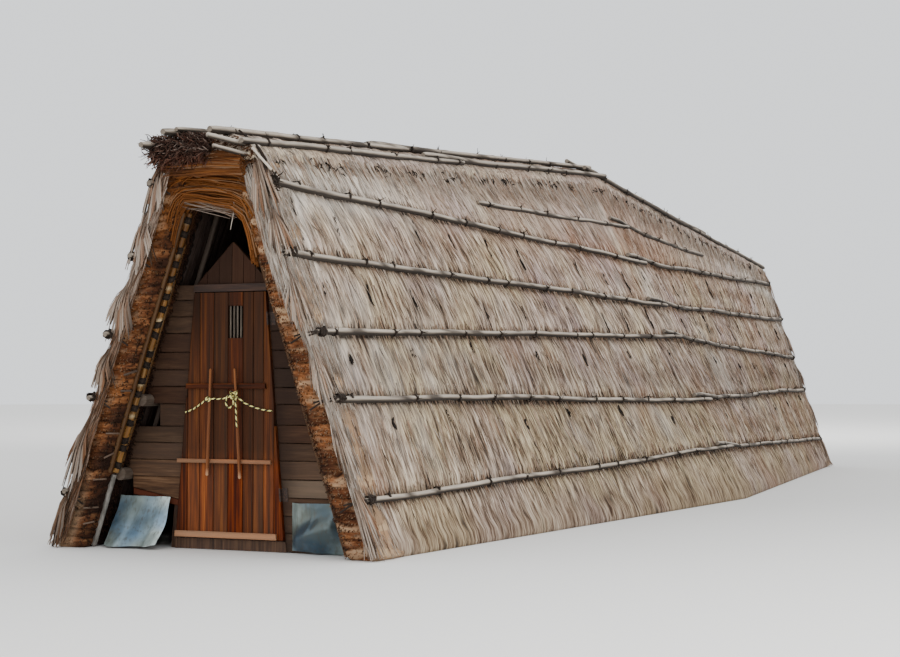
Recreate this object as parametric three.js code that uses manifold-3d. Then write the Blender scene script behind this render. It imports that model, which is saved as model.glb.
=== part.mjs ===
// Thatched A-frame hut with its thatch down to the ground, a plank gable and a side-hung plank door.
// Millimetres, +Z up. The entrance gable faces -Y, the ridge runs along Y, the crease is at y = 0.
import * as THREE from 'three';
import { mergeVertices } from 'three/addons/utils/BufferGeometryUtils.js';
import Module from 'manifold-3d';

const wasm = await Module();
wasm.setup();

// Hut as a whole
const halfLength = 8400;
const contactGap = 0.3;
const joinOverlap = 1;
const tolerance = 1e-4;

// Width and height of the thatch at the verge and at the crease
const footHalfWidth = { verge: 1520, crease: 2300 };
const capSeatHeight = { verge: 3220, crease: 3820 };
const capRise = { verge: 230, crease: 280 };
const capHalfWidth = 450;
const capOverhang = 90;
const thatchThickness = 240;

// Verge band in front of the gable wall
const vergeDepth = 350;
const vergeShare = vergeDepth / halfLength;
const crownUnderside = 2850;

// Stations along one half, from the verge (0) to the crease (1)
const stations = [0, vergeShare, 0.25, 0.5, 0.75, 1];

// Poles on each flank: heights at the verge and at the crease, and where the pole begins
const flankPoles = [
  { name: 'foot', verge: 460, crease: 600, radius: 26, start: 60 },
  { name: 'low', verge: 1270, crease: 1180, radius: 28, start: 50 },
  { name: 'middle', verge: 1800, crease: 1950, radius: 28, start: 70 },
  { name: 'high', verge: 2450, crease: 2350, radius: 30, start: 60 },
  { name: 'upper', verge: 3050, crease: 2900, radius: 30, start: 110 },
  { name: 'short', verge: 3140, crease: 3350, radius: 26, start: 0.5 * halfLength },
];
const poleSides = 8;

// Poles that hold the ridge cap down: angle round the cap and reach past the verge
const ridgePoles = [
  { name: 'right_shoulder', angle: 28, radius: 31, reach: 180 },
  { name: 'right_crown', angle: 72, radius: 33, reach: 330 },
  { name: 'left_crown', angle: 108, radius: 33, reach: 430 },
  { name: 'left_shoulder', angle: 152, radius: 31, reach: 430 },
];
const capSegments = 12;

// Logs on the inside of the thatch
const purlins = [
  { name: 'low', height: 640, radius: 55 },
  { name: 'high', height: 1270, radius: 55 },
];
const purlinNose = 190;
const ridgeBeamRadius = 55;

// Gable wall, measured back from the verge
const wallFront = 320;
const wallThickness = 30;
const wallTop = 2230;
const leftWallFoot = { outer: 500, inner: 410 };
const postWidth = 80;
const postDepth = 80;
const postRebate = 20;
const lintelBottom = 2167;

// Door leaf, a trapezoid that leans in with the wall
const leafBottom = 100;
const leafTop = 2160;
const leafHalfWidth = { bottom: 525, top: 350 };
const leafFront = 300;
const leafThickness = 36;
const leafClearance = 6;
const thresholdTop = 90;

// Hinges on the right edge of the leaf: barrel in front of the leaf, web, and plate on the wall.
// Web and plate are measured out from the leaf's edge
const hingeRadius = 8.2;
const hingeSides = 12;
const hinges = [{ name: 'low', foot: 420 }, { name: 'high', foot: 1880 }];
const hingeLength = 110;
const hingePlate = { from: 8, to: 62, thickness: 3 };
const hingeWeb = { from: 4, to: 10, shortBy: 6 };

// Rails, vent and rods of the leaf
const railThickness = 22;
const railInset = 60;
const rails = [
  { height: 100, width: 52, reach: 0 },
  { height: 725, width: 34, reach: 32 },
  { height: 1350, width: 44, reach: 0 },
];
const ventBox = { left: -40, right: 50, bottom: 1790, top: 2020, ahead: 50, depth: 150 };
const rodRadius = 13;
const rods = [
  { name: 'left', foot: [-192, 620], head: [-160, 1520] },
  { name: 'right', foot: [126, 600], head: [74, 1520] },
];

// Peak boards over the lintel
const peakHalfWidth = 355;
const peakHeight = 2590;
const peakTip = { left: 0, right: 40 };

// Rope tied across the leaf. Its route is x, height, and the share of the way that it stands off
// from lying on the leaf (0) to lying over the rods (1)
const ropeRadius = 7;
const ropeSides = 8;
const ropeSteps = { across: 40, tail: 10 };
const ropeRoute = [
  [-424, 1150, 0],
  [-340, 1178, 0.3],
  [-251, 1222, 0.72],
  [-169, 1262, 1],
  [-41, 1266, 0.92],
  [87, 1288, 1],
  [188, 1226, 0.72],
  [308, 1183, 0.3],
  [422, 1165, 0],
];
const tailTop = { x: 94, z: 1274.7 };
const tailFoot = { x: 108, z: 1024.7 };

// Bamboo verge rafters and the leaning pipe
const bambooRadius = 30;
const bambooBack = 150;
const bambooFoot = { left: 640, right: 20 };
const bambooHead = crownUnderside - 22;
const pipeRadius = 24;
const pipeEnds = { foot: 8, head: 620 };

// Sheets of metal at the feet of the gable. The left one leans on the wall: x, height of its top edge
// and how far its foot lies behind the verge. The right one bulges: x and swell, and the share of the
// swell at each height
const sheetThickness = 5;
const leanSheet = [
  { x: -1085, top: 430, footBack: 90 },
  { x: -900, top: 440, footBack: 70 },
  { x: -720, top: 435, footBack: 110 },
  { x: -575, top: 425, footBack: 80 },
];
const leanSag = 18;
const bulgeSection = [[600, 0], [680, 95], [790, 150], [900, 165], [1010, 130], [1085, 60]];
const bulgeLevels = [
  { z: 0, share: 0.8 },
  { z: 150, share: 1 },
  { z: 300, share: 0.9 },
  { z: 420, share: 0.62 },
];

const mix = (a, b, share) => a + (b - a) * share;

// Names of the materials and how they look
const looks = {
  thatch: { color: 0xa59588, roughness: 0.95, metalness: 0 },
  strawEnds: { color: 0x8a5a34, roughness: 0.95, metalness: 0 },
  pole: { color: 0x8b7f78, roughness: 0.85, metalness: 0 },
  log: { color: 0x4a3f36, roughness: 0.85, metalness: 0 },
  plank: { color: 0x4c3b2f, roughness: 0.8, metalness: 0 },
  door: { color: 0x63321d, roughness: 0.7, metalness: 0 },
  bamboo: { color: 0x9a8058, roughness: 0.55, metalness: 0 },
  zinc: { color: 0x6f8596, roughness: 0.5, metalness: 0.6 },
  rope: { color: 0xb8a742, roughness: 0.9, metalness: 0 },
  iron: { color: 0x2c2724, roughness: 0.7, metalness: 0.8 },
};

const hut = new THREE.Group();

function addPiece(name, geometry, look) {
  const piece = new THREE.Mesh(geometry, new THREE.MeshStandardMaterial(looks[look]));
  piece.name = name;
  hut.add(piece);
  return piece;
}

// Six times the volume that a triangle list encloses, negative when its faces point inwards
function signedVolume(positions, index) {
  const a = new THREE.Vector3();
  const b = new THREE.Vector3();
  const c = new THREE.Vector3();
  let sum = 0;
  for (let i = 0; i < index.length; i += 3) {
    a.fromArray(positions, 3 * index[i]);
    b.fromArray(positions, 3 * index[i + 1]);
    c.fromArray(positions, 3 * index[i + 2]);
    sum += a.dot(b.cross(c));
  }
  return sum;
}

// Closed solid through loops of the same even number of points, each end closed like a ladder
function loft(loops) {
  const count = loops[0].length;
  const positions = loops.flat().flatMap((point) => [point.x, point.y, point.z]);
  const index = [];
  for (let k = 0; k + 1 < loops.length; k += 1) {
    for (let i = 0; i < count; i += 1) {
      const next = (i + 1) % count;
      const here = k * count;
      const there = here + count;
      index.push(here + i, here + next, there + next, here + i, there + next, there + i);
    }
  }
  for (let i = 0; i + 1 < count / 2; i += 1) {
    const rungs = [i, i + 1, count - 2 - i, i, count - 2 - i, count - 1 - i];
    const last = (loops.length - 1) * count;
    index.push(...rungs.slice().reverse());
    index.push(...rungs.map((corner) => last + corner));
  }
  if (signedVolume(positions, index) < 0) index.reverse();
  const geometry = new THREE.BufferGeometry();
  geometry.setAttribute('position', new THREE.Float32BufferAttribute(positions, 3));
  geometry.setIndex(index);
  return geometry;
}

// Plate of constant thickness whose outline lies in the XZ plane
function plate(outline, front, thickness) {
  const loop = (y) => outline.map(([x, z]) => new THREE.Vector3(x, y, z));
  return loft([loop(front), loop(front + thickness)]);
}

// Round bar along a list of centres; each section lies across the bar
function bar(centres, radii, sides, across) {
  const loops = centres.map((centre, k) => {
    const ring = [];
    for (let i = 0; i < sides; i += 1) {
      const angle = (2 * Math.PI * i) / sides;
      const offset = across[k].u.clone().multiplyScalar(Math.cos(angle) * radii[k]);
      offset.addScaledVector(across[k].v, Math.sin(angle) * radii[k]);
      ring.push(centre.clone().add(offset));
    }
    return ring;
  });
  return loft(loops);
}

// Straight bar between two points
function straightBar(from, to, radius, sides) {
  const along = to.clone().sub(from).normalize();
  const u = new THREE.Vector3(0, 1, 0).cross(along).normalize();
  const v = along.clone().cross(u);
  return bar([from, to], [radius, radius], sides, [{ u, v }, { u, v }]);
}

function toManifold(geometry) {
  const bare = geometry.clone();
  bare.deleteAttribute('normal');
  bare.deleteAttribute('uv');
  const merged = mergeVertices(bare, tolerance);
  return new wasm.Manifold(new wasm.Mesh({
    numProp: 3,
    vertProperties: new Float32Array(merged.attributes.position.array),
    triVerts: new Uint32Array(merged.index.array),
  }));
}

function fromManifold(solid) {
  const mesh = solid.getMesh();
  const geometry = new THREE.BufferGeometry();
  geometry.setAttribute('position', new THREE.BufferAttribute(new Float32Array(mesh.vertProperties), 3));
  geometry.setIndex(new THREE.BufferAttribute(new Uint32Array(mesh.triVerts), 1));
  return geometry;
}

function cut(geometry, ...tools) {
  return fromManifold(tools.reduce((solid, tool) => solid.subtract(toManifold(tool)), toManifold(geometry)));
}

function joined(geometry, ...others) {
  return fromManifold(others.reduce((solid, other) => solid.add(toManifold(other)), toManifold(geometry)));
}

// Shape of the thatch at a share of the way from verge to crease
const footAt = (share) => mix(footHalfWidth.verge, footHalfWidth.crease, share);
const seatAt = (share) => mix(capSeatHeight.verge, capSeatHeight.crease, share);
const riseAt = (share) => mix(capRise.verge, capRise.crease, share);
const slopeAt = (share) => (footAt(share) - capHalfWidth) / seatAt(share);
const outerAt = (share, height) => footAt(share) - slopeAt(share) * height;
const levelThickness = (share) => thatchThickness * Math.hypot(1, slopeAt(share));
const innerAt = (share, height) => outerAt(share, height) - levelThickness(share);
const shareAt = (back) => back / halfLength;

// Places along the whole hut, from a share behind one verge over the crease to the same at the other
function alongHut(first) {
  const half = [first, ...stations.filter((share) => share > first + tolerance)];
  const front = half.map((share) => ({ share, y: -halfLength * (1 - share) }));
  const rear = front.slice(0, -1).reverse().map(({ share, y }) => ({ share, y: -y }));
  return [...front, ...rear];
}

// Direction square to the flank, seen along the ridge
function outward(share) {
  const lean = Math.atan(slopeAt(share));
  return { x: Math.cos(lean), z: Math.sin(lean) };
}

// Heights of the rows of the outer and the inner face: poles and purlins lie along rows
function outerRows(share) {
  return [0, ...flankPoles.map((pole) => mix(pole.verge, pole.crease, share)), seatAt(share)];
}

function innerRows(share) {
  const rows = outerRows(share);
  purlins.forEach((purlin, i) => {
    rows[i + 1] = purlin.height;
  });
  return rows;
}

function flankLoop(share, side, end, trim) {
  const y = end * (halfLength * (1 - share) - trim);
  const outer = outerRows(share).map((z) => new THREE.Vector3(side * outerAt(share, z), y, z));
  const inner = innerRows(share).map((z) => new THREE.Vector3(side * innerAt(share, z), y, z));
  return [...outer, ...inner.reverse()];
}

// Flanks, verge bands and the crown over the entrance
function addThatch() {
  for (const [sideName, side] of [['right', 1], ['left', -1]]) {
    const vergeBand = [0, vergeShare].map((share) => flankLoop(share, side, -1, 0));
    addPiece(`verge_${sideName}_front`, loft(vergeBand), 'strawEnds');
    // The halves meet at the crease with the contact gap, and so do the front half and its verge band
    const creaseTrim = (share) => (share === 1 ? -contactGap / 2 : 0);
    const bandTrim = (share) => (share === vergeShare ? contactGap : 0);
    const front = stations.slice(1)
      .map((share) => flankLoop(share, side, -1, creaseTrim(share) + bandTrim(share)));
    addPiece(`thatch_${sideName}_front`, loft(front), 'thatch');
    const rear = stations.map((share) => flankLoop(share, side, 1, creaseTrim(share)));
    addPiece(`thatch_${sideName}_rear`, loft(rear), 'thatch');
  }
  for (const [endName, end] of [['front', -1], ['rear', 1]]) {
    const loops = [0, vergeShare].map((share) => {
      const y = end * halfLength * (1 - share);
      const low = innerAt(0, crownUnderside) - contactGap;
      const high = innerAt(0, capSeatHeight.verge) - contactGap;
      const top = capSeatHeight.verge - contactGap;
      return [[-low, crownUnderside], [low, crownUnderside], [high, top], [-high, top]]
        .map(([x, z]) => new THREE.Vector3(x, y, z));
    });
    addPiece(`crown_${endName}`, loft(loops), 'strawEnds');
  }
}

// Ridge cap: half an ellipse over the seat, from past one verge to past the other
function capPoint(share, angle, y, lift) {
  const turn = THREE.MathUtils.degToRad(angle);
  const x = capHalfWidth * Math.cos(turn);
  const z = seatAt(share) + contactGap + riseAt(share) * Math.sin(turn);
  const normal = new THREE.Vector2(Math.cos(turn) / capHalfWidth, Math.sin(turn) / riseAt(share)).normalize();
  return new THREE.Vector3(x + normal.x * lift, y, z + normal.y * lift);
}

function addRidgeCap() {
  const loops = alongHut(shareAt(-capOverhang)).map(({ share, y }) => {
    const arc = [];
    for (let i = 0; i < capSegments; i += 1) {
      arc.push(capPoint(share, (180 * i) / (capSegments - 1), y, 0));
    }
    return arc;
  });
  addPiece('ridge_cap', loft(loops), 'thatch');
}

// A pole along the cap or a flank, bent over the crease, as an eight-sided bar
function lyingBar(places, radius) {
  const across = places.map(({ normal }) => ({
    u: new THREE.Vector3(normal.x, 0, normal.z),
    v: new THREE.Vector3(-normal.z, 0, normal.x),
  }));
  return bar(places.map(({ centre }) => centre), places.map(() => radius), poleSides, across);
}

function addRidgePoles() {
  for (const pole of ridgePoles) {
    const step = 180 / (capSegments - 1);
    const angle = Math.round(pole.angle / step) * step;
    const places = alongHut(shareAt(-pole.reach)).map(({ share, y }) => {
      const foot = capPoint(share, angle, y, 0);
      const centre = capPoint(share, angle, y, pole.radius + contactGap);
      const normal = centre.clone().sub(foot).normalize();
      return { centre, normal };
    });
    addPiece(`ridge_pole_${pole.name}`, lyingBar(places, pole.radius), 'pole');
  }
}

function addFlankPoles() {
  for (const [sideName, side] of [['right', 1], ['left', -1]]) {
    for (const pole of flankPoles) {
      const places = alongHut(shareAt(pole.start)).map(({ share, y }) => {
        const z = mix(pole.verge, pole.crease, share);
        const { x, z: up } = outward(share);
        const lift = pole.radius + contactGap;
        const centre = new THREE.Vector3(side * (outerAt(share, z) + x * lift), y, z + up * lift);
        return { centre, normal: { x: side * x, z: up } };
      });
      addPiece(`pole_${sideName}_${pole.name}`, lyingBar(places, pole.radius), 'pole');
    }
  }
}

// Purlins lie along the inner rows; their noses show in front of the entrance gable
function purlinBar(purlin, side, extra) {
  const places = alongHut(shareAt(purlinNose)).map(({ share, y }) => {
    const { x, z } = outward(share);
    const lift = purlin.radius + contactGap;
    const level = side * (innerAt(share, purlin.height) - x * lift);
    const centre = new THREE.Vector3(level, y, purlin.height - z * lift);
    return { centre, normal: { x: side * x, z } };
  });
  return lyingBar(places, purlin.radius + extra);
}

// Solids a little thicker than the purlins, which cut their holes into a wall
function purlinHoles(side) {
  return purlins.map((purlin) => purlinBar(purlin, side, 2 * contactGap));
}

function addLogs() {
  for (const [sideName, side] of [['right', 1], ['left', -1]]) {
    for (const purlin of purlins) {
      addPiece(`purlin_${sideName}_${purlin.name}`, purlinBar(purlin, side, 0), 'log');
    }
  }
  const places = alongHut(shareAt(vergeDepth + contactGap)).map(({ share, y }) => ({
    centre: new THREE.Vector3(0, y, seatAt(share) - ridgeBeamRadius - contactGap),
    normal: { x: 0, z: 1 },
  }));
  addPiece('ridge_beam', lyingBar(places, ridgeBeamRadius), 'log');
}

// Half-width of the door opening, and of the leaf, at a height
const leafLean = (leafHalfWidth.bottom - leafHalfWidth.top) / (leafTop - leafBottom);
const leafEdge = (height) => leafHalfWidth.bottom - leafLean * (height - leafBottom);
const openingEdge = (height) => leafEdge(height) + leafClearance;
const wallEdge = (height) => innerAt(shareAt(wallFront), height) - contactGap;

function gableWall(side, footOuter, footInner) {
  const outline = [
    [side * openingEdge(footInner), footInner],
    [side * wallEdge(footOuter), footOuter],
    [side * wallEdge(wallTop), wallTop],
    [side * openingEdge(wallTop), wallTop],
  ];
  return cut(plate(outline, -halfLength + wallFront, wallThickness), ...purlinHoles(side));
}

function addGables() {
  addPiece('gable_wall_right', gableWall(1, 0, 0), 'plank');
  addPiece('gable_wall_left', gableWall(-1, leftWallFoot.outer, leftWallFoot.inner), 'plank');
  const postFront = -halfLength + wallFront + wallThickness + contactGap;
  for (const [sideName, side] of [['right', 1], ['left', -1]]) {
    const near = (z) => side * (openingEdge(z) - postRebate);
    const far = (z) => side * (openingEdge(z) - postRebate + postWidth);
    const top = lintelBottom - contactGap;
    addPiece(`door_post_${sideName}`, plate([[near(0), 0], [far(0), 0], [far(top), top], [near(top), top]],
      postFront, postDepth), 'plank');
  }
  const fill = (z) => openingEdge(z) - contactGap;
  const lintelFront = -halfLength + leafFront;
  const lintelFace = plate([[-fill(lintelBottom), lintelBottom], [fill(lintelBottom), lintelBottom],
    [fill(wallTop), wallTop], [-fill(wallTop), wallTop]], lintelFront, postFront + joinOverlap - lintelFront);
  const lintelReach = openingEdge(lintelBottom) - postRebate + postWidth;
  const lintelBack = plate([[-lintelReach, lintelBottom], [lintelReach, lintelBottom],
    [lintelReach, wallTop], [-lintelReach, wallTop]], postFront, postDepth);
  addPiece('door_lintel', joined(lintelFace, lintelBack), 'door');
  addPiece('threshold_board', plate([[-fill(0), 0], [fill(0), 0],
    [fill(thresholdTop), thresholdTop], [-fill(thresholdTop), thresholdTop]],
  -halfLength + wallFront, wallThickness), 'plank');
  const peakFoot = wallTop + contactGap;
  addPiece('peak_boards', plate([[-peakHalfWidth, peakFoot], [peakHalfWidth, peakFoot],
    [peakTip.right, peakHeight], [peakTip.left, peakHeight]],
  -halfLength + wallFront, wallThickness), 'plank');
  const rearTop = crownUnderside - contactGap;
  const rearWall = plate([[-wallEdge(0), 0], [wallEdge(0), 0], [wallEdge(rearTop), rearTop],
    [-wallEdge(rearTop), rearTop]], halfLength - wallFront - wallThickness, wallThickness);
  addPiece('gable_wall_rear', cut(rearWall, ...purlinHoles(1), ...purlinHoles(-1)), 'plank');
}

// Door leaf with its rails, a small vent, two rods and the rope
function addDoor() {
  const front = -halfLength + leafFront;
  const board = plate([[-leafEdge(leafBottom), leafBottom], [leafEdge(leafBottom), leafBottom],
    [leafEdge(leafTop), leafTop], [-leafEdge(leafTop), leafTop]], front, leafThickness);
  const bars = rails.map(({ height, width, reach }) => {
    const left = (z) => -leafEdge(z) - reach;
    const right = (z) => leafEdge(z) - railInset;
    const top = height + width;
    return plate([[left(height), height], [right(height), height], [right(top), top], [left(top), top]],
      front - railThickness, railThickness + joinOverlap);
  });
  const { left, right, bottom, top, ahead, depth } = ventBox;
  const vent = plate([[left, bottom], [right, bottom], [right, top], [left, top]], front - ahead, depth);
  addPiece('door_leaf', cut(joined(board, ...bars), vent), 'door');
  const rodLine = front - railThickness - rodRadius - contactGap;
  for (const { name, foot, head } of rods) {
    addPiece(`door_rod_${name}`, straightBar(new THREE.Vector3(foot[0], rodLine, foot[1]),
      new THREE.Vector3(head[0], rodLine, head[1]), rodRadius, poleSides), 'pole');
  }
  const ropeOverRod = rodLine - rodRadius - ropeRadius - contactGap;
  const ropeOnLeaf = front - ropeRadius - contactGap;
  const standOff = (share) => mix(ropeOnLeaf, ropeOverRod, share);
  const route = ropeRoute.map(([x, z, share]) => new THREE.Vector3(x, standOff(share), z));
  addPiece('door_rope', ropeTube(route, ropeSteps.across), 'rope');
  const tail = [tailTop, tailFoot].map(({ x, z }) => new THREE.Vector3(x, ropeOverRod, z));
  addPiece('door_rope_tail', ropeTube(tail, ropeSteps.tail), 'rope');
}

// Hinges: the barrels lie on the leaf's turning line and touch the leaf's front corner
function addHinges() {
  const wallFace = -halfLength + wallFront - contactGap;
  const aside = leafClearance / 2;
  const lineDepth = -halfLength + leafFront - Math.sqrt((hingeRadius + contactGap) ** 2 - aside ** 2);
  const line = (z) => new THREE.Vector3(leafEdge(z) + aside, lineDepth, z);
  for (const { name, foot } of hinges) {
    const head = foot + hingeLength;
    const barrel = straightBar(line(foot), line(head), hingeRadius, hingeSides);
    const strip = ({ from, to }, shortBy, y, thickness) => plate([
      [leafEdge(foot) + from, foot + shortBy],
      [leafEdge(foot) + to, foot + shortBy],
      [leafEdge(head) + to, head - shortBy],
      [leafEdge(head) + from, head - shortBy],
    ], y, thickness);
    const web = strip(hingeWeb, hingeWeb.shortBy, lineDepth, wallFace - lineDepth);
    const flap = strip(hingePlate, 0, wallFace - hingePlate.thickness, hingePlate.thickness);
    addPiece(`door_hinge_${name}`, joined(barrel, web, flap), 'iron');
  }
}

function ropeTube(points, steps) {
  const section = new THREE.Shape();
  for (let i = 0; i < ropeSides; i += 1) {
    const angle = (2 * Math.PI * i) / ropeSides;
    const corner = [ropeRadius * Math.cos(angle), ropeRadius * Math.sin(angle)];
    if (i === 0) section.moveTo(...corner);
    else section.lineTo(...corner);
  }
  section.closePath();
  return new THREE.ExtrudeGeometry(section, { steps, extrudePath: new THREE.CatmullRomCurve3(points) });
}

// Bamboo rafters inside the verge bands, and the pipe that stands below the left one
function addVergeRafters() {
  const share = shareAt(bambooBack);
  const place = (side, height, radius) => new THREE.Vector3(
    side * (innerAt(share, height) - (radius + 2 * contactGap) * Math.hypot(1, slopeAt(share))),
    -halfLength + bambooBack,
    height,
  );
  for (const [sideName, side] of [['right', 1], ['left', -1]]) {
    addPiece(`bamboo_rafter_${sideName}`, straightBar(place(side, bambooFoot[sideName], bambooRadius),
      place(side, bambooHead, bambooRadius), bambooRadius, poleSides), 'bamboo');
  }
  addPiece('leaning_pipe', straightBar(place(-1, pipeEnds.foot, pipeRadius),
    place(-1, pipeEnds.head, pipeRadius), pipeRadius, poleSides), 'zinc');
}

// Sheet metal that shields the feet of the gable: one leans on the wall, one bulges
function addSheets() {
  const face = -halfLength + wallFront - contactGap;
  const skin = (backs) => {
    const outer = backs.map(([x, y, z]) => new THREE.Vector3(x, y - sheetThickness, z));
    const inner = backs.map(([x, y, z]) => new THREE.Vector3(x, y, z));
    return [...outer, ...inner.reverse()];
  };
  addPiece('base_sheet_left', loft(leanSheet.map(({ x, top, footBack }) => {
    const foot = -halfLength + footBack;
    return skin([[x, foot, 0], [x, mix(foot, face, 0.5) + leanSag, 0.5 * top], [x, face, top]]);
  })), 'zinc');
  addPiece('base_sheet_right', loft(bulgeLevels.map(({ z, share }) => (
    skin(bulgeSection.map(([x, swell]) => [x, face - swell * share, z]))
  ))), 'zinc');
}

addThatch();
addRidgeCap();
addRidgePoles();
addFlankPoles();
addLogs();
addGables();
addDoor();
addHinges();
addVergeRafters();
addSheets();

export default hut;
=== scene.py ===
import bpy
import numpy as np
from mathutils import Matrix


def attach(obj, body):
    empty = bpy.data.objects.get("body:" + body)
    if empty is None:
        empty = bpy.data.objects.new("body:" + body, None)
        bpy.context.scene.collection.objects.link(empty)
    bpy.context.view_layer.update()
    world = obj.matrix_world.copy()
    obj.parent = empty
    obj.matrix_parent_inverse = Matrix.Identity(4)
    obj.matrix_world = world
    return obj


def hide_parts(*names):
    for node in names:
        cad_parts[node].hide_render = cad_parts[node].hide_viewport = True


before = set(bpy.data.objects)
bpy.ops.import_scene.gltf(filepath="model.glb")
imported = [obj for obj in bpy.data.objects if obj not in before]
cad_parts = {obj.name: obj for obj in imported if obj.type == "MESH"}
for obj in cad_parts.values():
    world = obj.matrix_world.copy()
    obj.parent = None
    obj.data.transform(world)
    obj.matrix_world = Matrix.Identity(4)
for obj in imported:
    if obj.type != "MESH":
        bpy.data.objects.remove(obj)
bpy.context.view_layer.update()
print("frame:", len(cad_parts), "nodes")

# The hut's driving sizes in metres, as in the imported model: entrance at -Y, ridge along Y, crease at y = 0.
# A pair gives the size at the verge and at the crease
hut = {
    "halfLength": 8.4,
    "foot": (1.52, 2.3),
    "seat": (3.22, 3.82),
    "rise": (0.23, 0.28),
    "capHalfWidth": 0.45,
    "capOverhang": 0.09,
    "thickness": 0.24,
    "vergeDepth": 0.35,
    "crownUnderside": 2.85,
    "wallFront": 0.32,
    "wallTop": 2.23,
    "clearance": 0.0003,
}
halfLength, capHalf, thickness = hut["halfLength"], hut["capHalfWidth"], hut["thickness"]
vergeSeat, crownLow, clearance = hut["seat"][0], hut["crownUnderside"], hut["clearance"]
ground = 0.004  # no stalk goes lower
sides = {"right": 1, "left": -1}
ends = {"front": -1, "rear": 1}


# Numbers

def mix(a, b, share):
    return a + (b - a) * share


def ease(value, low, high):
    # 0 below low, 1 above high and 3t²-2t³ between
    t = np.clip((value - low) / (high - low), 0, 1)
    return t * t * (3 - 2 * t)


def hump(value, middle, width):
    # a bell: 1 at the middle and falling away over the width
    return np.exp(-((value - middle) / width) ** 2)


def corner(i, j, seed):
    # a whole-number hash of a lattice corner, from -1 to 1
    h = (i * 374761393 + j * 668265263 + seed * 974711) & 0x7FFFFFFF
    h = ((h ^ (h >> 13)) * 1274126177) & 0x7FFFFFFF
    return ((h ^ (h >> 16)) & 0xFFFF) / 32767.5 - 1


def noise(u, v, seed):
    # value noise: the four corners of a unit cell blended by the ease curve
    u, v = np.broadcast_arrays(np.asarray(u, float), np.asarray(v, float))
    i, j = np.floor(u).astype(np.int64), np.floor(v).astype(np.int64)
    a, b = ease(u - i, 0, 1), ease(v - j, 0, 1)
    low, high = (mix(corner(i, k, seed), corner(i + 1, k, seed), a) for k in (j, j + 1))
    return mix(low, high, b)


def patches(u, v, size, seed):
    # two layers of value noise on turned axes, so that no square cells show; about -1 to 1
    slow = noise((u + 0.6 * v) / size, (v - 0.6 * u) / size, seed)
    return 0.7 * slow + 0.45 * noise((u - 0.9 * v) / (0.41 * size), (v + 0.9 * u) / (0.41 * size), seed + 100)


def unit(vectors):
    return vectors / np.maximum(np.linalg.norm(vectors, axis=-1, keepdims=True), 1e-9)


def spread(values, *shape):
    return np.broadcast_to(np.asarray(values, float), shape)


def stack(*parts):
    # coordinates broadcast together and set side by side on a last axis
    return np.stack(np.broadcast_arrays(*[np.asarray(p, float) for p in parts]), axis=-1)


def turns(count):
    return np.linspace(0, 2 * np.pi, count, endpoint=False)


def circle(angle, aside, other):
    return np.cos(angle) * aside + np.sin(angle) * other


def walkedAlong(path):
    # metres walked from a path's start to each of its points
    return np.concatenate([[0], np.cumsum(np.linalg.norm(np.diff(path, axis=0), axis=1))])


# Shape of the thatch at a share of the way from verge (0) to crease (1)

def sizeAt(key, share):
    return mix(*hut[key], share)


def slopeAt(share):
    return (sizeAt("foot", share) - capHalf) / sizeAt("seat", share)


def rakeAt(share):
    # metres walked up the slope for each metre of height
    return np.hypot(1, slopeAt(share))


def outerAt(share, z):
    return sizeAt("foot", share) - slopeAt(share) * z


def innerAt(share, z):
    return outerAt(share, z) - thickness * rakeAt(share)


def shareOf(y):
    return 1 - np.abs(y) / halfLength


def flankPoint(side, y, z, lift, share=None):
    # (foot - slope z, y, z) moved square to the slope by lift
    share = shareOf(y) if share is None else share
    lean = np.arctan(slopeAt(share))
    return stack(side * (outerAt(share, z) + np.cos(lean) * lift), y, z + np.sin(lean) * lift)


def vergePoint(ahead, z, lift):
    # the same on the right slope, ahead of the verge's front, as if the verge's slope ran on
    return flankPoint(1, halfLength + ahead, z, lift, 0 * z)


# Meshes

def shell(points, flow, tone=0, wrapRows=False):
    # many like grids at once, closed across, with a polygon over each end row or wrapped round to the
    # first row: points is (count, m, n, 3), flow is metres across, metres along and a random id
    count, m, n, _ = points.shape
    i, j = np.meshgrid(np.arange(m if wrapRows else m - 1), np.arange(n), indexing="ij")
    i2, j2 = (i + 1) % m, (j + 1) % n
    quads = np.stack([i * n + j, i * n + j2, i2 * n + j2, i2 * n + j], axis=-1).reshape(-1, 4)
    caps = np.stack([np.arange(n)[::-1], (m - 1) * n + np.arange(n)])
    # the volume's sign says whether the faces point outwards
    first = points[0].reshape(-1, 3)
    a, b, c, d = (first[quads[:, k]] - first.mean(axis=0) for k in range(4))
    volume = np.einsum("ij,ij->", a, np.cross(b, c)) + np.einsum("ij,ij->", a, np.cross(c, d))
    starts = (np.arange(count) * m * n)[:, None, None]
    faces = [(kind[None, :, ::-1 if volume < 0 else 1] + starts).reshape(-1, kind.shape[1])
             for kind in ([quads] if wrapRows else [quads, caps])]
    flat = [spread(values, *points.shape).reshape(-1, 3).copy() for values in (points, flow, tone)]
    return {"points": flat[0], "flow": flat[1], "tone": flat[2], "faces": faces}


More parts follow.
